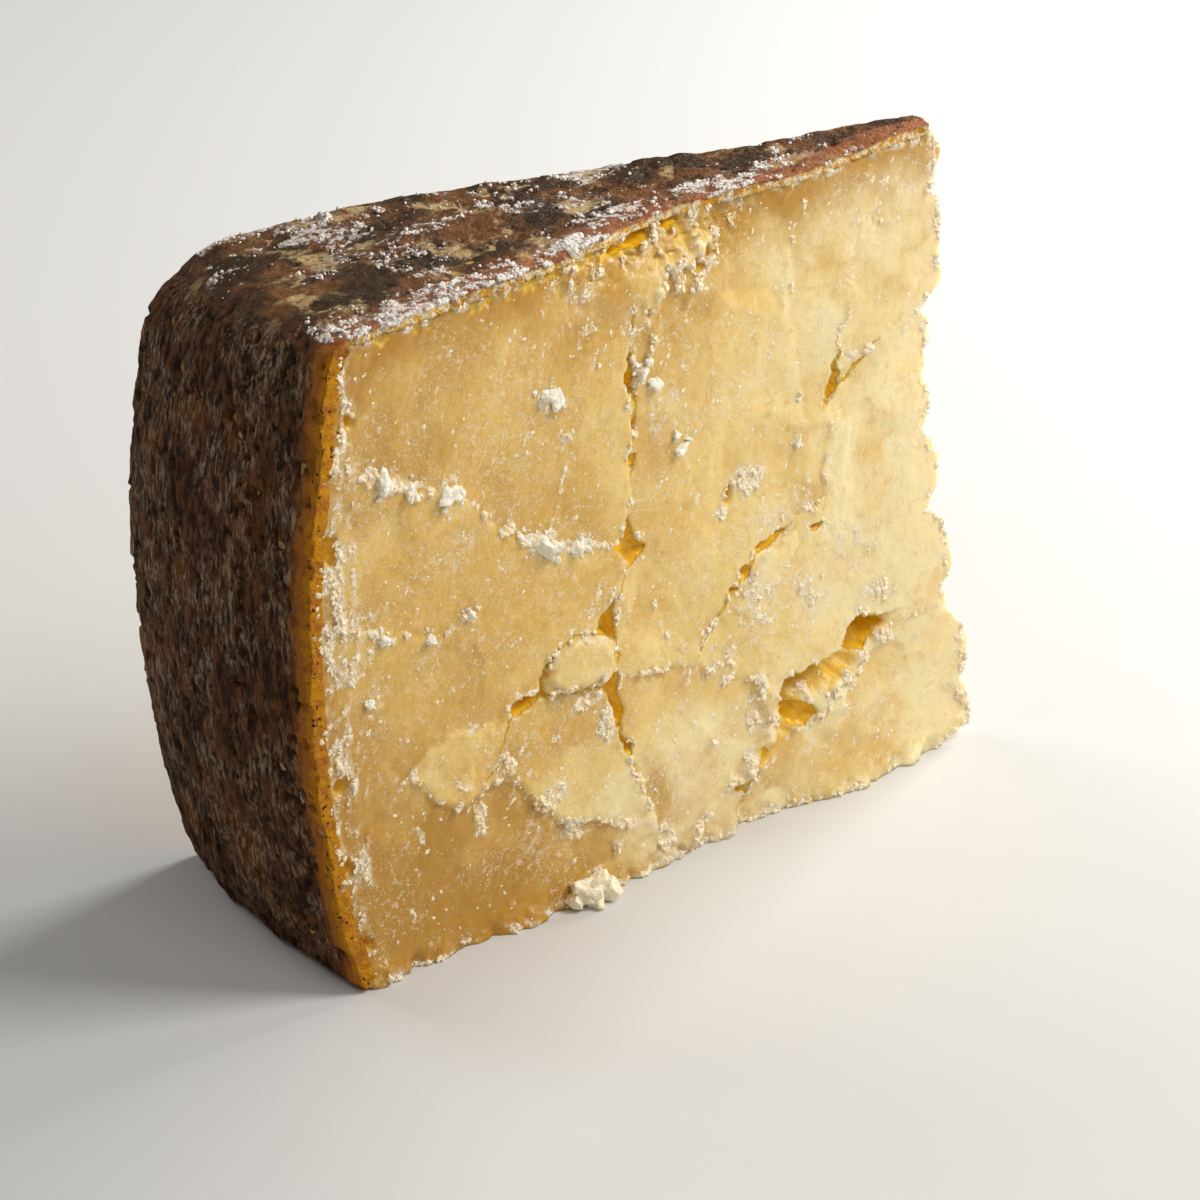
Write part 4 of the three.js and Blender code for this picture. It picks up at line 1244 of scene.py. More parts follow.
@dataclass(frozen=True)
class PasteFinish:
    """Waxy golden paste that lets light in: deeper by the rind, pale crumbs; painted light towards the tip,
    painted shade in the low corner, and painted glow and shade amber in cracks.
    """

    golden: Colour = (0.765, 0.470, 0.090)
    # pale and ivory: paler paste, also used as painted light towards the tip.
    pale: Colour = (0.885, 0.630, 0.200)
    ivory: Colour = (0.95, 0.780, 0.40)
    # deep: the drier paste by the rind and waxy spots, and painted shade in the low corner.
    deep: Colour = (0.52, 0.260, 0.022)
    # honey and amber: painted glow of light through the paste and painted shade in cracks and hollows.
    painted_glow_honey: Colour = (0.82, 0.540, 0.080)
    amber: Colour = (0.90, 0.520, 0.012)
    film: Colour = (0.98, 0.80, 0.54)
    chalk: Colour = (0.99, 0.88, 0.70)
    roughness: float = 0.34
    gloss_spread: float = 0.10
    glow: float = 0.5
    glow_lost: float = 0.8
    glow_depth: float = 2.2
    glow_colour: Colour = (1.0, 0.76, 0.48)
    frosted: Spots = Spots(6, 3, 0.6, 0.42, 0.60)
    curl_ends: Spots = Spots(0.9, 3, 0.55, 0.50, 0.60)
    specks: Spots = Spots(0.32, 1, 0.5, 0.60, 0.70)
    milky: Spots = Spots(2.6, 4, 0.7, 0.48, 0.70, 0.22)
    grains: Spots = Spots(0.42, 3, 0.7, 0.46, 0.66, 0.26)
    waxy: Spots = Spots(1.6, 3, 0.6, 0.46, 0.30, 0.22)

    def crack_mask(self, board: NodeBoard) -> Socket:
        """Shows the insides of the cracks and openings, down to hairlines, with ragged edges, where painted
        glow and shade go.
        """
        ragged = board.times(board.centred(0.55, 3, 0.6), 0.5)
        split = board.size_of(board.plus(board.attribute("split"), ragged))
        gape = board.attribute("gape")
        inside = board.window(board.minus(gape, split), -0.04, 0.12)
        beyond = board.minus(board.attribute("near"), gape)
        inside = board.times(inside, board.window(beyond, 0.9, 0.5))
        hole = board.window(board.plus(board.attribute("hole"), ragged), -0.06, 0.12)
        return board.larger(inside, hole)

    def chalk_mask(self, board: NodeBoard, cracks: Socket) -> Socket:
        """Shows the dried white grains: crumbs with ragged edges, fine curls and small specks."""
        grains = board.times(board.centred(0.8, 5, 0.7), 1.8)
        crumbs = board.window(board.plus(board.attribute("chalk"), grains), 0.42, 0.72)
        winding = board.size_of(board.centred(1.3, 2, 0.5, 0.6))
        curls = board.times(board.window(winding, 0.060, 0.020), board.show(self.curl_ends))
        fine = board.times(board.larger(curls, board.show(self.specks)), board.show(self.frosted))
        pale = board.larger(crumbs, board.times(fine, 0.6))
        return board.times(pale, board.minus(1.0, cracks))

    def film_mask(self, board: NodeBoard) -> Socket:
        """Shows the thin whitish film around the dried grains."""
        grains = board.times(board.centred(1.1, 5, 0.75), 1.5)
        film = board.window(board.plus(board.attribute("chalk"), grains), 0.14, 0.75)
        thinner = board.times(board.attribute("ripe_and_shade"), 0.35)
        return board.times(film, board.minus(0.80, thinner))

    def body_colour(self, board: NodeBoard) -> Socket:
        """The waxy paste itself: cloudy, golden by the rind and in the painted shade low by the side, and
        ivory towards the tip as painted light.
        """
        cloudy = board.centred(9, 4, 0.65)
        tone = board.times(board.attribute("tone"), 0.29)
        # The pallor attribute carries painted light: paler towards the tip.
        share = board.plus(board.plus(board.attribute("pallor_and_painted_light"), cloudy), tone)
        colour = board.mix(board.window(share, 0.05, 0.60), self.golden, self.pale)
        colour = board.mix(board.window(share, 0.62, 1.20), colour, self.ivory)
        colour = board.mix(board.show(self.milky), colour, self.ivory)
        colour = board.mix(board.show(self.grains), colour, self.chalk)
        colour = board.mix(board.show(self.waxy), colour, self.deep)
        # Deeper by the rind where the paste is drier, and painted shade in the low corner.
        ripe_and_shade = board.minus(board.attribute("ripe_and_shade"), board.times(cloudy, 0.6))
        ripe_and_shade = board.window(board.minus(ripe_and_shade, board.times(tone, 0.8)), -0.02, 0.75)
        return board.mix(board.times(ripe_and_shade, 0.95), colour, self.deep)

    def material(self) -> bpy.types.Material:
        """Builds the finish."""
        board = NodeBoard("aged_paste")
        cracks = self.crack_mask(board)
        pale = self.chalk_mask(board, cracks)
        colour = board.mix(self.film_mask(board), self.body_colour(board), self.film)
        colour = board.mix(board.times(pale, 0.85), colour, self.chalk)
        # Painted glow and shade: hollows, cracks and openings are coloured honey to amber, as if lit
        # through the paste and shaded inside.
        hollow = board.larger(board.attribute("amber"), cracks)
        sunk = board.mix(board.window(hollow, 0.55, 0.95), self.painted_glow_honey, self.amber)
        colour = board.mix(board.window(hollow, 0.0, 0.5), colour, sunk)
        height = board.minus(board.times(pale, 0.35), cracks)
        normal = board.bump(board.noise(0.4, 3, 0.6), 0.05)
        normal = board.bump(board.noise(1.7, 3, 0.6), 0.07, normal)
        normal = board.bump(height, 0.22, normal)
        rough_span = (self.roughness - self.gloss_spread, self.roughness + self.gloss_spread)
        glow = board.minus(self.glow, board.times(hollow, self.glow_lost * self.glow))
        board.set_shader(
            Base_Color=colour,
            Roughness=board.between(board.noise(0.9, 2, 0.5), (0.3, 0.7), rough_span),
            Normal=normal,
            Subsurface_Weight=glow,
            Subsurface_Radius=self.glow_colour,
            Subsurface_Scale=self.glow_depth * MM,
        )
        return board.material


@dataclass(frozen=True)
class CrumbFinish:
    """Pale crumbs and flakes of the same paste, whiter where they have dried."""

    name: str = "dried_crumb"
    pale: Colour = (0.97, 0.76, 0.42)
    white: Colour = (0.99, 0.87, 0.64)
    roughness: float = 0.45
    dried: Spots = Spots(2.2, 3, 0.6, 0.30, 0.52)

    def material(self) -> bpy.types.Material:
        """Builds the finish."""
        board = NodeBoard(self.name)
        board.set_shader(
            Base_Color=board.mix(board.show(self.dried), self.pale, self.white),
            Roughness=self.roughness,
            Normal=board.bump(board.noise(0.35, 2, 0.5), 0.04),
        )
        return board.material


@dataclass(frozen=True)
class CrystalFinish:
    """Cloudy white crystals with a wet gloss."""

    cloudy: Colour = (0.97, 0.89, 0.71)
    clear: Colour = (0.98, 0.94, 0.83)
    roughness: float = 0.25
    glow: float = 0.5
    glow_depth: float = 0.5
    clearer: Spots = Spots(0.8, 3, 0.6, 0.35, 0.65)

    def material(self) -> bpy.types.Material:
        """Builds the finish."""
        board = NodeBoard("salt_crystal")
        board.set_shader(
            Base_Color=board.mix(board.show(self.clearer), self.cloudy, self.clear),
            Roughness=self.roughness,
            Normal=board.bump(board.noise(0.6, 3, 0.6), 0.12),
            Subsurface_Weight=self.glow,
            Subsurface_Radius=(1.0, 1.0, 1.0),
            Subsurface_Scale=self.glow_depth * MM,
        )
        return board.material


@dataclass(frozen=True)
class RindFinish:
    """The dry brown rind: streaked and pitted side, mottled top, mould and powdery bloom."""

    bark: Colour = (0.028, 0.011, 0.005)
    brown: Colour = (0.15, 0.060, 0.020)
    mould: Colour = (0.42, 0.31, 0.20)
    olive: Colour = (0.050, 0.025, 0.008)
    chestnut: Colour = (0.19, 0.075, 0.022)
    ochre: Colour = (0.60, 0.42, 0.19)
    red_brown: Colour = (0.42, 0.14, 0.05)
    powder: Colour = (0.86, 0.77, 0.69)
    rust: Colour = (0.48, 0.165, 0.022)
    amber: Colour = (0.62, 0.265, 0.012)
    orange: Colour = (0.74, 0.36, 0.03)
    cream: Colour = (0.93, 0.80, 0.52)
    glossy: float = 0.45
    dusty: float = 0.85
    gloss: float = 0.12
    streaks: Spots = Spots(1.0, 4, 0.7, 0.42, 0.60, bend=0.4)
    mould_patches: Spots = Spots(8.5, 4, 0.7, 0.40, 0.60, 0.9)
    mould_tufts: Spots = Spots(0.7, 4, 0.75, 0.47, 0.62, bend=0.4)
    warm_places: Spots = Spots(9, 3, 0.6, 0.50, 0.66, 0.18)
    chestnut_blotches: Spots = Spots(7, 4, 0.65, 0.44, 0.60, bend=0.5)
    ochre_blotches: Spots = Spots(6.5, 4, 0.62, 0.53, 0.63, 0.85, 0.3)
    dark_pores: Spots = Spots(1.2, 4, 0.7, 0.46, 0.32, 0.85)
    border_blotches: Spots = Spots(1.8, 3, 0.6, 0.30, 0.52, 0.85)
    rusty_specks: Spots = Spots(0.9, 3, 0.6, 0.42, 0.32, 0.75)
    creamy_teeth: Spots = Spots(1.0, 4, 0.7, 0.42, 0.58)
    rusty_stains: Spots = Spots(2.2, 4, 0.7, 0.50, 0.36)
    barky_stains: Spots = Spots(0.8, 2, 0.6, 0.60, 0.68)

    def side_colour(self, board: NodeBoard) -> Socket:
        """The wheel's side: brown with slanting streaks, dark pits and beige mould."""
        upright = board.stretched(1.0, 1.0, 0.34)
        colour = board.mix(board.show(self.streaks, upright), self.bark, self.brown)
        mould = board.times(board.show(self.mould_patches), board.show(self.mould_tufts, upright))
        colour = board.mix(mould, colour, self.mould)
        return board.mix(board.show(self.warm_places), colour, self.rust)

    def top_colour(self, board: NodeBoard) -> Socket:
        """The top: dark olive and chestnut with ochre blotches."""
        colour = board.mix(board.show(self.chestnut_blotches), self.olive, self.chestnut)
        colour = board.mix(board.show(self.ochre_blotches), colour, self.ochre)
        return board.mix(board.show(self.dark_pores), colour, self.olive)

    def material(self) -> bpy.types.Material:
        """Builds the finish."""
        board = NodeBoard("mouldy_rind")
        side = board.attribute("side")
        colour = board.mix(side, self.top_colour(board), self.side_colour(board))
        by_cut = board.times(board.attribute("by_cut"), board.show(self.border_blotches))
        colour = board.mix(by_cut, colour, board.mix(side, self.red_brown, self.rust))
        dust = board.times(board.centred(1.1, 6, 0.8, 0.3), 2.6)
        bloom = board.window(board.plus(board.attribute("bloom"), dust), 0.52, 0.66)
        colour = board.mix(board.times(bloom, 0.78), colour, self.powder)
        colour = board.mix(board.times(board.attribute("pit"), 0.9), colour, self.olive)
        toothed = board.mix(board.show(self.creamy_teeth), self.orange, self.cream)
        inside = board.mix(side, toothed, self.amber)
        inside = board.mix(board.show(self.rusty_specks), inside, self.rust)
        colour = board.mix(board.window(board.attribute("depth_in"), 0.02, 0.40), colour, inside)
        edge = board.times(board.attribute("edge"), side)
        colour = board.mix(board.window(edge, 0.02, 0.45), colour, self.rust)
        stained = board.mix(board.show(self.rusty_stains), self.amber, self.rust)
        stained = board.mix(board.show(self.barky_stains), stained, self.bark)
        colour = board.mix(board.window(edge, 0.72, 0.96), colour, stained)
        fine = board.bump(board.noise(0.45, 3, 0.7), 0.26)
        normal = board.bump(board.noise(1.3, 4, 0.65), 0.75, fine)
        normal = board.bump(bloom, 0.2, normal)
        matt = board.larger(bloom, side)
        roughness = board.plus(self.glossy, board.times(matt, self.dusty - self.glossy))
        board.set_shader(
            Base_Color=colour, Roughness=roughness, Normal=normal, Specular_IOR_Level=self.gloss
        )
        return board.material


@dataclass(frozen=True)
class MouldFinish:
    """Granules of dried bloom, white to brown."""

    white: Colour = (0.84, 0.79, 0.73)
    brown: Colour = (0.34, 0.17, 0.09)
    roughness: float = 0.8
    gloss: float = 0.3
    whiter: Spots = Spots(1.6, 4, 0.7, 0.38, 0.52)

    def material(self) -> bpy.types.Material:
        """Builds the finish."""
        board = NodeBoard("rind_granule")
        board.set_shader(
            Base_Color=board.mix(board.show(self.whiter), self.brown, self.white),
            Roughness=self.roughness,
            Normal=board.bump(board.noise(0.3, 2, 0.5), 0.05),
            Specular_IOR_Level=self.gloss,
        )
        return board.material


@dataclass(frozen=True)
class FloorFinish:
    """A plain pale floor."""

    pale: Colour = (0.66, 0.66, 0.65)
    roughness: float = 0.85

    def material(self) -> bpy.types.Material:
        """Builds the finish."""
        board = NodeBoard("pale_floor")
        board.set_shader(Base_Color=self.pale, Roughness=self.roughness)
        return board.material


# ---------------------------------------------------------------- the cheese


@dataclass
class PasteBody:
    """The paste of the wedge, with both cuts broken and the tip edge crumbled."""

    form: WedgeForm
    front: FrontCut
    back: BrokenCut
    tip: TipEdge
    cells: tuple[int, int, int] = (140, 12, 130)
    under_rind: float = 0.6
    border_power: int = 12
    deepest_share: float = 0.4
    crack_share: float = 0.3
    furthest_out: float = 3.5
    finish: PasteFinish = field(default_factory=PasteFinish)

    def room(self, thickness: Array, rise: Array) -> Array:
        """How deep a cut may go: less by the base and the top, where its edge is shared."""
        open_field = ramp(np.minimum(rise, self.form.height - rise), 0, 4)
        return thickness * (self.deepest_share + self.crack_share * open_field)

    def ripeness_and_shade(self, from_tip: Array, back: Array, rise: Array) -> Array:
        """How close a place lies to the rind, where the paste is drier and deeper in colour, with painted
        shade added low down by the side.
        """
        from_axis = np.hypot(from_tip + self.form.axis_beyond_tip, back)
        to_side = np.maximum(self.form.radius_at(rise) - from_axis, 0)
        to_top = np.maximum(self.form.height - rise, 0)
        # Painted shade: the low corner by the side is made deeper in colour; the bands under the top and by
        # the side are the drier paste.
        low_corner_shade = np.exp(-(rise + 0.45 * to_side) / 16)
        ripe_and_shade = 0.85 * np.exp(-to_top / 8.0) + 0.7 * np.exp(-to_side / 5.0) + 1.8 * low_corner_shade
        return np.clip(ripe_and_shade, 0, 1.2)

    def pallor_and_painted_light(self, from_tip: Array, rise: Array) -> Array:
        """How pale the paste is painted: lighter towards the tip as painted light, least by the rind, and
        paler low in the middle.
        """
        # Painted light: the paste is made paler towards the tip, where the light falls on the cut; the low
        # middle is paler too.
        along = 1.15 * (1 - ramp(from_tip, -6, 78))
        low_middle = 0.85 * hump(rise, 8, 20) * hump(from_tip, 45, 28)
        return np.clip(along + low_middle, 0, 1.2)

    def shape(self, box: Array) -> tuple[Array, dict[str, Array]]:
        """Moves the unit box's corners to the cheese.

        Args:
            box: The corners of the unit box.

        Returns:
            The corners in metres, and the numbers that the finish reads.
        """
        outward, through, upward = 0.5 - box[:, 0], box[:, 1] + 0.5, box[:, 2] + 0.5
        from_tip, back, rise = self.form.place(outward, through, upward)
        ripe_and_shade = self.ripeness_and_shade(from_tip, back, rise)
        thickness = blend(self.form.tip_thickness, self.form.side_point(1.0, rise)[1], outward)
        front = self.front.surface(from_tip, rise)
        rear = self.back.surface(from_tip / math.cos(self.form.wedge_angle), rise)
        room = self.room(thickness, rise)
        near, far = (1 - through) ** 2, through**2
        pushed = np.clip(front.inward, -self.furthest_out, room) * near
        pushed -= np.clip(rear.inward, -self.furthest_out, room) * far
        tip_push = self.tip.push(outward, through, rise)
        lift = self.tip.chip(from_tip, rise)
        shrink = 1 - self.under_rind * outward**self.border_power / self.form.wheel_radius
        from_tip = (from_tip + self.form.axis_beyond_tip) * shrink - self.form.axis_beyond_tip
        rise = rise + lift - self.under_rind * upward**self.border_power
        nearer = through < 0.5
        numbers = {
            "amber": front.amber * near + rear.amber * far,
            "chalk": np.maximum(front.chalk * near, rear.chalk * far),
            "ripe_and_shade": ripe_and_shade,
            "near": np.where(nearer, front.near, rear.near),
            "split": np.where(nearer, front.split, rear.split),
            "gape": np.where(nearer, front.gape, rear.gape),
            "hole": np.where(nearer, front.hole, rear.hole),
            "tone": np.where(nearer, front.tone, rear.tone),
            "pallor_and_painted_light": self.pallor_and_painted_light(from_tip, rise),
        }
        return self.form.to_metres(from_tip - tip_push, back * shrink + pushed, rise), numbers

    def build(self) -> bpy.types.Object:
        """Builds and dresses the paste."""
        piece = GridBox(self.cells, (Side.FRONT,)).build("paste_body")
        reshape(piece, self.shape)
        dress(piece, self.finish.material())
        return piece

    def on_front(self, from_tip: Array, rise: Array) -> tuple[Array, Surface]:
        """Finds the broken front surface at many places.

        Args:
            from_tip, rise: The places.

        Returns:
            The places as rows in millimetres in the part's frame, and what the cut is like.
        """
        surface = self.front.surface(from_tip, rise)
        outward = from_tip / self.form.side_point(0.0, rise)[0]
        thickness = blend(self.form.tip_thickness, self.form.side_point(1.0, rise)[1], outward)
        inward = np.clip(surface.inward, -self.furthest_out, self.room(thickness, rise))
        push = self.tip.push(outward, np.zeros(rise.shape), rise)
        lift = self.tip.chip(from_tip, rise)
        return self.form.to_metres(from_tip - push, inward, rise + lift) / MM, surface

    def on_back(self, from_tip: Array, rise: Array) -> tuple[Array, Surface]:
        """Finds the broken back surface at many places, as on_front does."""
        surface = self.back.surface(from_tip / math.cos(self.form.wedge_angle), rise)
        side_u, side_y = self.form.side_point(1.0, rise)
        outward = from_tip / side_u
        thickness = blend(self.form.tip_thickness, side_y, outward)
        inward = np.clip(surface.inward, -self.furthest_out, self.room(thickness, rise))
        push = self.tip.push(outward, np.ones(rise.shape), rise)
        return self.form.to_metres(from_tip - push, thickness - inward, rise) / MM, surface


@dataclass
class RindShell:
    """The rind: one shell over the wheel's side and top, worn ragged where it was cut."""

    form: WedgeForm
    front: FrontCut
    tip: TipEdge
    cells: tuple[int, int, int] = (250, 60, 3)
    top_share: float = 0.53
    top_thickness: float = 1.3
    side_thickness: float = 2.0
    proud: float = 0.25
    ragged: float = 0.45
    furthest_in: float = 3.0
    furthest_out: float = 3.5
    back_half_away: float = 10.0
    finish: RindFinish = field(default_factory=RindFinish)

    def smooth_place(self, along: Array, through: Array) -> Array:
        """Rows of (from_tip, back, rise) on the smooth outer face; along runs tip to foot."""
        outward = np.clip(along / self.top_share, 0, 1)
        upward = 1 - np.clip((along - self.top_share) / (1 - self.top_share), 0, 1)
        return np.column_stack(self.form.place(outward, through, upward))

    def outer_face(self, along: Array, through: Array) -> tuple[Array, Array]:
        """The smooth outer face and its outward direction, as (from_tip, back, rise) rows."""
        step = 0.004
        place = self.smooth_place(along, through)
        ahead = self.smooth_place(np.minimum(along + step, 1), through)
        behind = self.smooth_place(np.maximum(along - step, 0), through)
        deeper = self.smooth_place(along, np.minimum(through + step * 4, 1))
        nearer = self.smooth_place(along, np.maximum(through - step * 4, 0))
        normal = np.cross(ahead - behind, deeper - nearer)
        return place, normal / np.maximum(np.linalg.norm(normal, axis=1, keepdims=True), TINY)

    def weathering(self, place: Array, side: Array) -> dict[str, Array]:
        """Works out the worn outer face: how far it stands out, its pits and its bloom."""
        u, back, rise = place.T
        waves = 0.42 * rough_noise(u / 7.5, back / 7.5, rise / 7.5, 3, 70)
        crust = 0.20 * rough_noise(u / 1.7, back / 1.7, rise / 1.7, 3, 74)
        bark = 0.26 * rough_noise(u / 1.0, back / 1.0, rise / 4.2, 3, 78)
        craters = rough_noise(u / 1.3, back / 1.3, rise / 1.7, 2, 82)
        pit = ramp(craters, 0.36, 0.60) * blend(0.5, 1.0, side)
        wrinkles = -0.25 * np.abs(rough_noise(u / 3.4, back / 3.4, rise / 3.4, 2, 86))
        patches = ramp(rough_noise(u / 8, back / 5, rise / 8, 3, 91), -0.05, 0.35)
        return {
            "out": waves + crust + blend(wrinkles, bark, side) - 0.55 * pit,
            "pit": pit,
            "patches": patches,
        }

    def shape(self, box: Array) -> tuple[Array, dict[str, Array]]:
        """Moves the unit box's corners to the shell.

        Args:
            box: The corners of the unit box.

        Returns:
            The corners in metres, and the numbers that the finish reads.
        """
        along, through, depth = 0.5 - box[:, 0], box[:, 1] + 0.5, 0.5 - box[:, 2]
        place, normal = self.outer_face(along, through)
        side = ramp(along, self.top_share - 0.02, self.top_share + 0.02)
        worn = self.weathering(place, side)
        thickness = blend(self.top_thickness, self.side_thickness, side)
        taper = ramp(along, 0.0, 0.03)
        out = worn["out"] * (1 - depth) * (0.4 + 0.6 * taper)
        moved = place + normal * (out - thickness * depth)[:, None]
        from_tip, back, rise = moved.T
        u, z = place[:, 0], place[:, 2]
        outward = np.clip(u / self.form.side_point(0.0, z)[0], 0, 1)

        # The front border follows the cut, a little proud of it and uneven.
        near = (1 - through) ** 2
        border = self.front.broad_form(u, z) * near
        fine = 0.5 * smooth_noise(u / 0.7, z / 0.7, depth * 1.5, 97)
        uneven = rough_noise(u / 1.6, z / 1.6, 2.5, 3, 94) + fine
        lip = (self.proud + self.ragged * uneven * (0.4 + 0.6 * depth)) * (1 - ramp(through, 0, 0.05))
        back = back + np.clip(border, -self.furthest_out, self.furthest_in) - lip
        push = self.tip.push(outward, through, z)
        rise = np.maximum(rise, 0)

        # Only the half by the front cut is stained; the other half counts as far from it.
        to_cut = np.abs(back - border) * np.where(through > 0.5, self.back_half_away, 1)
        ragged_band = 3.0 * rough_noise(u / 5, back / 5, 7.5, 3, 98)
        gaps = 0.30 * rough_noise(u / 3.2, back / 3.2, 2.5, 3, 99)
        front_band = 1 - ramp(to_cut + ragged_band, 3.0, 10.0)
        top = 1 - side
        along_edge = ramp(u, 14, 30) * (0.55 + 0.45 * ramp(u, 50, 85))
        dusty = (0.52 + gaps) * front_band * along_edge + 0.40 * worn["patches"]
        dusty = (dusty + 0.30 * ramp(through, 0.45, 0.9) * ramp(u, 20, 45)) * top
        numbers = {
            "side": side,
            "by_cut": 1 - ramp(to_cut, 0.6, blend(7.0, 4.5, side)),
            "edge": 1 - ramp(to_cut + 0.9 * uneven, 0.0, 3.2),
            "bloom": np.clip(dusty, 0, 1),
            "pit": worn["pit"] * (1 - depth),
            "depth_in": depth,
        }
        return self.form.to_metres(from_tip - push, back, rise), numbers

    def build(self) -> bpy.types.Object:
        """Builds and dresses the rind."""
        piece = GridBox(self.cells, (Side.TOP, Side.FRONT)).build("rind_shell")
        reshape(piece, self.shape)
        dress(piece, self.finish.material())
        return piece


SurfaceFinder = Callable[[Array, Array], tuple[Array, Surface]]


@dataclass
class CrumbCover:
    """Crumbs that cling along seams, crack edges, the rind, the tip edge and the foot."""

    paste: PasteBody
    name: str = "paste_crumbs"
    front_count: int = 4800
    back_count: int = 2000
    tries: int = 120000
    small: float = 0.09
    large: float = 0.42
    uneven: float = 0.35
    lowest: float = 0.15
    clear_of_rind: float = 1.2
    clear_of_shoulder: float = 0.8
    clear_of_hole: float = 0.15
    seed: int = 7
    finish: CrumbFinish = field(default_factory=CrumbFinish)

    def chance(self, surface: Surface, from_tip: Array, rise: Array) -> Array:
        """How likely a crumb is at a place."""
        edges = np.maximum(1 - ramp(rise, 1, 4), 1 - ramp(from_tip, 0.5, 3))
        spread = blend(blend(0.8, 0.5, edges), 0.2, ramp(from_tip, 90, 93))
        return spread * ramp(surface.chalk, 0.35, 1.0) ** 2.5

    def settle(
        self, find: SurfaceFinder, through: float, count: int, draw: np.random.Generator
    ) -> Array:
        """Draws places on a cut, more of them where it is pale and crumbly.

        Args:
            find: Gives the cut's surface at (from_tip, rise).
            through: 0 for the front cut, 1 for the back cut.
            count: How many places to keep.
            draw: The source of random numbers.

        Returns:
            The places, as rows in millimetres.
        """
        form = self.paste.form
        from_tip = draw.uniform(0.0, form.wheel_radius, self.tries)
        rise = draw.uniform(self.lowest, form.height - self.clear_of_rind, self.tries)
        side = form.side_point(through, rise)[0]
        radius = blend(form.shoulder_front, form.shoulder_back, through)
        over_side = np.maximum(radius - side + from_tip, 0)
        over_top = np.maximum(radius - form.top_at(from_tip / side, through) + rise, 0)
        inside = np.hypot(over_side, over_top) < radius - self.clear_of_shoulder
        inside &= from_tip < side - self.clear_of_rind
        from_tip, rise = from_tip[inside], rise[inside]
        places, surface = find(from_tip, rise)
        chance = self.chance(surface, from_tip, rise) * (1 - surface.amber)
        chance = chance * (surface.hole < -self.clear_of_hole)
        order = draw.uniform(0, 1, len(chance)) ** (1 / np.maximum(chance, 1e-6))
        kept = np.argsort(-order)[:count]
        return places[kept]

    def sizes(self, count: int, draw: np.random.Generator) -> Array:
        """Half sizes of the crumbs: many small ones and a few large."""
        grown = self.small + (self.large - self.small) * draw.uniform(0, 1, (count, 1)) ** 4.0
        return grown * draw.uniform(0.65, 1.15, (count, 3))

    def turns(self, count: int, draw: np.random.Generator) -> Array:
        """How each crumb is turned."""
        return random_turns(count, draw)

    def build(self) -> bpy.types.Object:
        """Builds and dresses the crumbs."""
        draw = np.random.default_rng(self.seed)
        places = [self.settle(self.paste.on_front, 0.0, self.front_count, draw)]
        if self.back_count:
            places.append(self.settle(self.paste.on_back, 1.0, self.back_count, draw))
        places = np.concatenate(places)
        halves = self.sizes(len(places), draw)
        scatter = Scatter(places, halves, self.turns(len(places), draw), self.uneven)
        piece = scatter.build(self.name, 1, draw)
        bpy.ops.object.shade_flat()
        dress(piece, self.finish.material())
        return piece


@dataclass
class PaleFlakes(CrumbCover):
    """Thin ragged flakes that lie flat on the front cut, mostly in its pale places."""

    name: str = "paste_flakes"
    front_count: int = 7600
    back_count: int = 0
    seed: int = 11
    furthest_turn: float = math.pi
    half_wide: float = 0.17
    half_thick: float = 0.05
    half_tall: float = 0.24
    finish: CrumbFinish = field(default_factory=lambda: CrumbFinish("feathery_flake"))

    def chance(self, surface: Surface, from_tip: Array, rise: Array) -> Array:
        """Flakes lie where the cut is pale, and a few stand by themselves."""
        single = 0.06 * self.paste.front.flecks(from_tip, rise) ** 1.5
        return 0.001 + single + ramp(surface.chalk, 0.3, 0.9) ** 1.8

    def sizes(self, count: int, draw: np.random.Generator) -> Array:
        """Half sizes of the flakes."""
        grown = 0.45 + 0.95 * draw.uniform(0, 1, (count, 1)) ** 2.5
        grown = grown * draw.uniform(0.6, 1.3, (count, 3))
        return grown * np.array([self.half_wide, self.half_thick, self.half_tall])

    def turns(self, count: int, draw: np.random.Generator) -> Array:
        """Flakes lie flat on the cut, turned any way in it."""
        return leaning_turns(count, self.furthest_turn, draw)


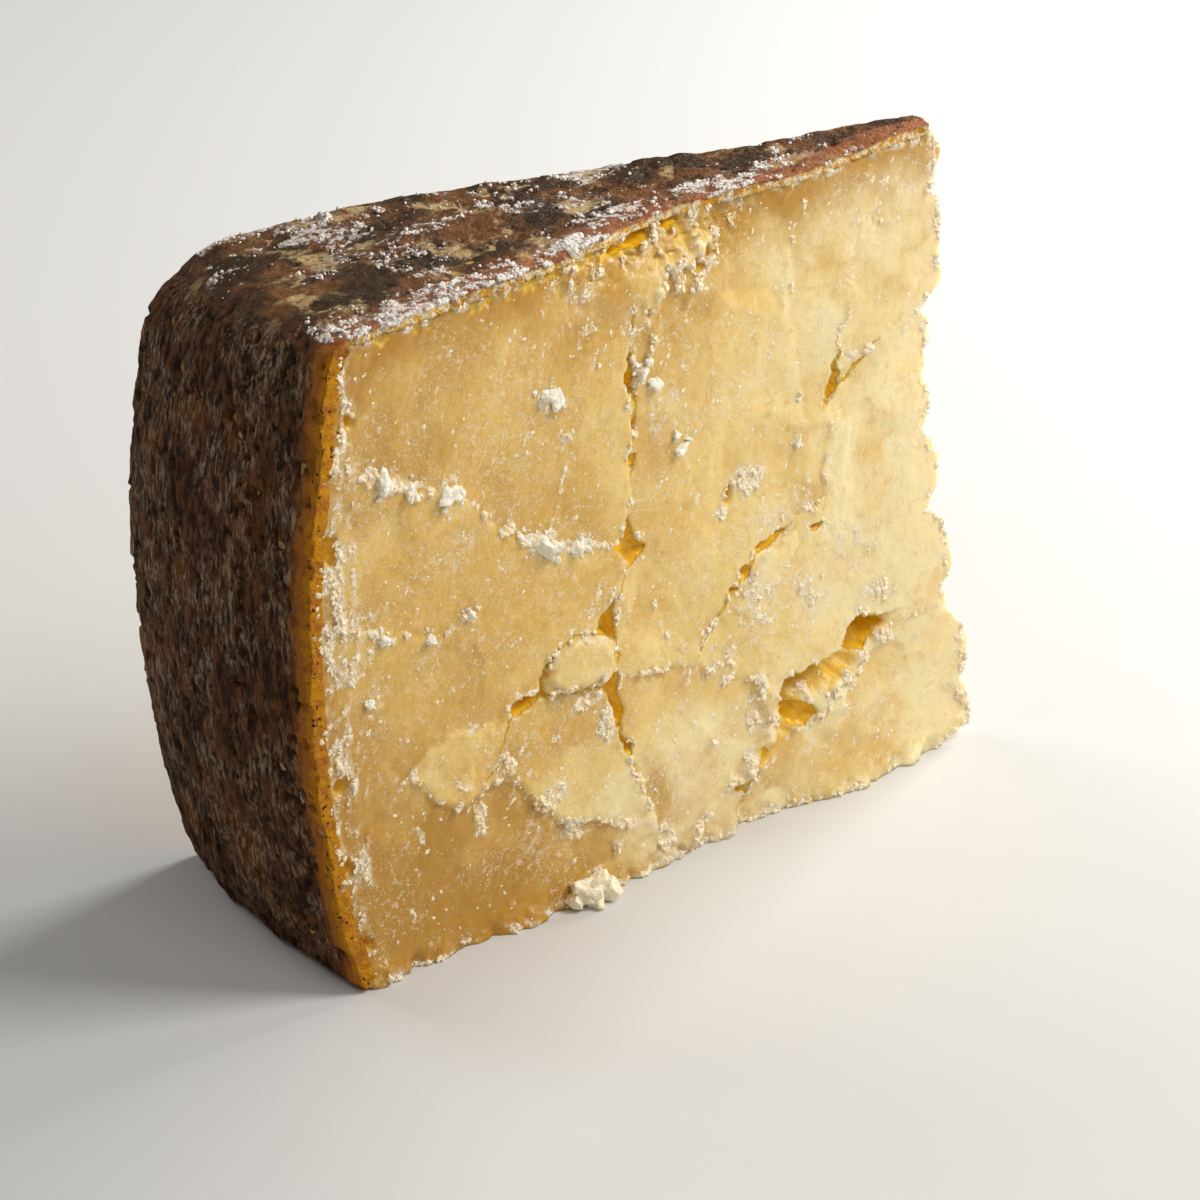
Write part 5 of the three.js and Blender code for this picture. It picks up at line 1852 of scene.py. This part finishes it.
@dataclass
class SaltCrystals:
    """White crystals set in the front cut: (from_tip, rise, wide, tall), each with small ones."""

    paste: PasteBody
    sizes: tuple[tuple[float, float, float, float], ...] = (
        (88.9, 64.5, 2.0, 3.0), (84.6, 62.1, 1.7, 2.5), (79.3, 59.7, 2.6, 2.6), (67.1, 49.8, 1.4, 1.8),
        (64.6, 48.6, 2.4, 3.2), (62.4, 47.6, 1.8, 2.6), (59.4, 46.4, 2.0, 2.2), (57.9, 46.0, 1.3, 1.9),
        (61.3, 66.2, 1.4, 2.4), (63.2, 67.3, 2.2, 2.6), (48.1, 65.6, 1.9, 2.8), (46.0, 63.6, 1.6, 2.4),
        (47.2, 66.9, 1.2, 1.4), (42.0, 54.0, 1.6, 2.2), (42.8, 55.8, 1.2, 1.6), (89.6, 44.4, 1.9, 1.9),
        (91.9, 36.7, 1.5, 2.4), (82.3, 41.9, 1.5, 1.6), (76.0, 43.1, 1.4, 1.6), (23.0, 48.6, 1.2, 1.5),
    )
    satellites: int = 7
    spread: float = 0.48
    main_share: float = 1.12
    half_deep: float = 0.42
    proud: float = 0.10
    uneven: float = 0.20
    facets: int = 18
    seed: int = 19
    finish: CrystalFinish = field(default_factory=CrystalFinish)

    def build(self) -> bpy.types.Object:
        """Builds and dresses the crystals."""
        draw = np.random.default_rng(self.seed)
        main = np.array(self.sizes)
        around = np.repeat(main, self.satellites, axis=0)
        shift = draw.normal(0, self.spread, (len(around), 2)) * around[:, 2:]
        small = draw.uniform(0.20, 0.55, (len(around), 1)) * around[:, 2:]
        main = main * (1, 1, self.main_share, self.main_share)
        spots = np.vstack((main, np.hstack((around[:, :2] + shift, small))))
        places, _ = self.paste.on_front(spots[:, 0], spots[:, 1])
        halves = np.column_stack((spots[:, 2] / 2, spots[:, 2] * self.half_deep, spots[:, 3] / 2))
        halves = halves * draw.uniform(0.75, 1.15, halves.shape)
        places[:, 1] -= self.proud * halves[:, 1]
        turns = random_turns(len(spots), draw)
        piece = Scatter(places, halves, turns, self.uneven, self.facets).build("salt_crystals", 3, draw)
        bpy.ops.object.shade_flat()
        dress(piece, self.finish.material())
        return piece


@dataclass
class FootLumps:
    """The broken lump at the front cut's foot; a part of it is (from_tip, rise, wide, tall, out)."""

    paste: PasteBody
    lumps: tuple[tuple[float, float, float, float, float], ...] = (
        (61.2, 1.8, 3.2, 3.0, 1.2), (59.2, 2.3, 2.8, 2.6, 1.5), (60.2, 1.0, 2.4, 2.0, 1.9),
        (57.8, 1.2, 2.4, 2.2, 1.5), (62.4, 1.0, 2.0, 1.8, 0.9), (58.2, 2.9, 1.4, 1.3, 1.4),
    )
    half_share: float = 0.62
    lean: float = 0.5
    smooth_under: float = math.radians(25)
    uneven: float = 0.13
    facets: int = 14
    seed: int = 43
    finish: CrumbFinish = field(
        default_factory=lambda: CrumbFinish("foot_lump", (0.90, 0.76, 0.46), (0.95, 0.87, 0.66))
    )

    def build(self) -> bpy.types.Object:
        """Builds and dresses the lump."""
        draw = np.random.default_rng(self.seed)
        from_tip, rise, wide, tall, out = np.array(self.lumps).T
        places = self.paste.on_front(from_tip, rise)[0]
        places[:, 1] -= out
        halves = self.half_share * np.column_stack((wide, wide, tall))
        turns = leaning_turns(len(places), self.lean, draw)
        piece = Scatter(places, halves, turns, self.uneven, self.facets).build("foot_lump", 5, draw)
        bpy.ops.object.shade_smooth_by_angle(angle=self.smooth_under)
        dress(piece, self.finish.material())
        return piece


@dataclass
class BloomGranules:
    """Dried granules of bloom on the top, thickest along its front edge."""

    rind: RindShell
    count: int = 5200
    tries: int = 60000
    small: float = 0.10
    large: float = 0.34
    uneven: float = 0.25
    seed: int = 29
    finish: MouldFinish = field(default_factory=MouldFinish)

    def build(self) -> bpy.types.Object:
        """Builds and dresses the granules."""
        draw = np.random.default_rng(self.seed)
        along = draw.uniform(0.02, self.rind.top_share, self.tries)
        through = draw.uniform(0, 1, self.tries) ** 2.2
        box = np.column_stack((0.5 - along, through - 0.5, np.full(self.tries, 0.5)))
        places, numbers = self.rind.shape(box)
        patchy = ramp(rough_noise(*(places / MM / 1.6).T, 3, 140), 0.0, 0.4)
        chance = numbers["bloom"] ** 3 * patchy * np.maximum(along, 0.05) + 1e-6
        kept = np.argsort(-(draw.uniform(0, 1, self.tries) ** (1 / chance)))[: self.count]
        grown = self.small + (self.large - self.small) * draw.uniform(0, 1, (self.count, 1)) ** 2.5
        halves = grown * draw.uniform(0.6, 1.1, (self.count, 3))
        turns = random_turns(self.count, draw)
        scatter = Scatter(places[kept] / MM, halves, turns, self.uneven)
        piece = scatter.build("bloom_granules", 1, draw)
        dress(piece, self.finish.material())
        return piece


# ---------------------------------------------------------------- floor, light and camera


@dataclass(frozen=True)
class SoftLight:
    """A square soft light: the way it comes from, its distance, its size and its power."""

    name: str
    azimuth: float
    elevation: float
    distance: float
    size: float
    power: float
    colour: Colour = (1.0, 1.0, 1.0)


@dataclass(frozen=True)
class Studio:
    """The floor, the soft lights and the camera; angles in degrees, azimuth 0 looks along +Y."""

    form: WedgeForm
    floor_size: float = 6.0
    world: Colour = (0.84, 0.82, 0.80)
    world_strength: float = 0.16
    azimuth: float = -41.2
    elevation: float = 24.95
    roll: float = -1.61
    distance: float = 1.0756
    look_from_tip: float = 55.57
    look_rise: float = 38.31
    lens: float = 270.0
    lights: tuple[SoftLight, ...] = (
        SoftLight("key", 42.0, 47.0, 0.50, 0.22, 1.80, (1.0, 0.98, 0.94)),
        SoftLight("fill", -12.0, 42.0, 0.90, 0.40, 1.15, (1.0, 0.98, 0.95)),
        SoftLight("rim", 98.0, 20.0, 0.50, 0.20, 2.4, (1.0, 0.98, 0.95)),
        SoftLight("back", 192.0, 34.0, 0.70, 0.36, 1.2, (1.0, 0.97, 0.94)),
    )

    def outward(self, azimuth: float, elevation: float) -> Vector:
        """The direction from the cheese to something seen at these angles."""
        across, up = math.radians(azimuth), math.radians(elevation)
        return Vector((math.sin(across) * math.cos(up), -math.cos(across) * math.cos(up), math.sin(up)))

    def target(self) -> Vector:
        """The place that the camera and the lights point to."""
        spot = self.form.to_metres(*np.array([[self.look_from_tip], [0.0], [self.look_rise]]))
        return Vector(spot[0])

    def add_floor(self) -> None:
        """Adds the pale floor."""
        bpy.ops.object.select_all(action="DESELECT")
        bpy.ops.mesh.primitive_plane_add(size=self.floor_size)
        floor = bpy.context.active_object
        floor.name = "floor"
        floor.data.materials.append(FloorFinish().material())

    def add_lights(self) -> None:
        """Adds the soft lights, each facing the cheese."""
        for light in self.lights:
            towards = self.outward(light.azimuth, light.elevation)
            turn = towards.to_track_quat("Z", "Y").to_euler()
            place = self.target() + towards * light.distance
            bpy.ops.object.light_add(type="AREA", location=place, rotation=turn)
            lamp = bpy.context.active_object
            lamp.name = light.name
            lamp.data.size = light.size
            lamp.data.energy = light.power
            lamp.data.color = light.colour

    def add_world(self) -> None:
        """Adds the pale surroundings."""
        world = bpy.data.worlds.new("studio")
        world.use_nodes = True
        background = world.node_tree.nodes["Background"]
        background.inputs["Color"].default_value = (*self.world, 1.0)
        background.inputs["Strength"].default_value = self.world_strength
        bpy.context.scene.world = world

    def add_camera(self) -> None:
        """Adds the camera at the photograph's viewing angle."""
        across, roll = math.radians(self.azimuth), math.radians(self.roll)
        back = self.outward(self.azimuth, self.elevation)
        right = Vector((math.cos(across), math.sin(across), 0.0))
        up = back.cross(right)
        rolled_right = math.cos(roll) * right + math.sin(roll) * up
        rolled_up = math.cos(roll) * up - math.sin(roll) * right
        turn = Matrix((rolled_right, rolled_up, back)).transposed().to_euler()
        place = self.target() + back * self.distance
        bpy.ops.object.camera_add(location=place, rotation=turn)
        camera = bpy.context.active_object
        camera.name = "camera"
        camera.data.lens = self.lens
        bpy.context.scene.camera = camera

    def build(self) -> None:
        """Sets up everything around the cheese."""
        self.add_floor()
        self.add_lights()
        self.add_world()
        self.add_camera()
        bpy.context.scene.view_settings.view_transform = "Standard"


def main() -> None:
    """Builds the cheese from its pieces, then the studio around it."""
    form = WedgeForm()
    tip = TipEdge()
    front = FrontCut(3, FRONT_CRACKS, FRONT_SEAMS, FRONT_RIDGES, FRONT_PATCHES, FRONT_PLATES)
    back = BrokenCut(40, BACK_CRACKS, BACK_SEAMS)
    paste = PasteBody(form, front, back, tip)
    rind = RindShell(form, front, tip)
    builders = (
        paste,
        rind,
        CrumbCover(paste),
        PaleFlakes(paste),
        SaltCrystals(paste),
        FootLumps(paste),
        BloomGranules(rind),
    )
    for builder in builders:
        piece = builder.build()
        LOG.info("%s: %d faces", piece.name, len(piece.data.polygons))
    Studio(form).build()


if __name__ == "__main__":
    logging.basicConfig(level=logging.INFO)
    main()
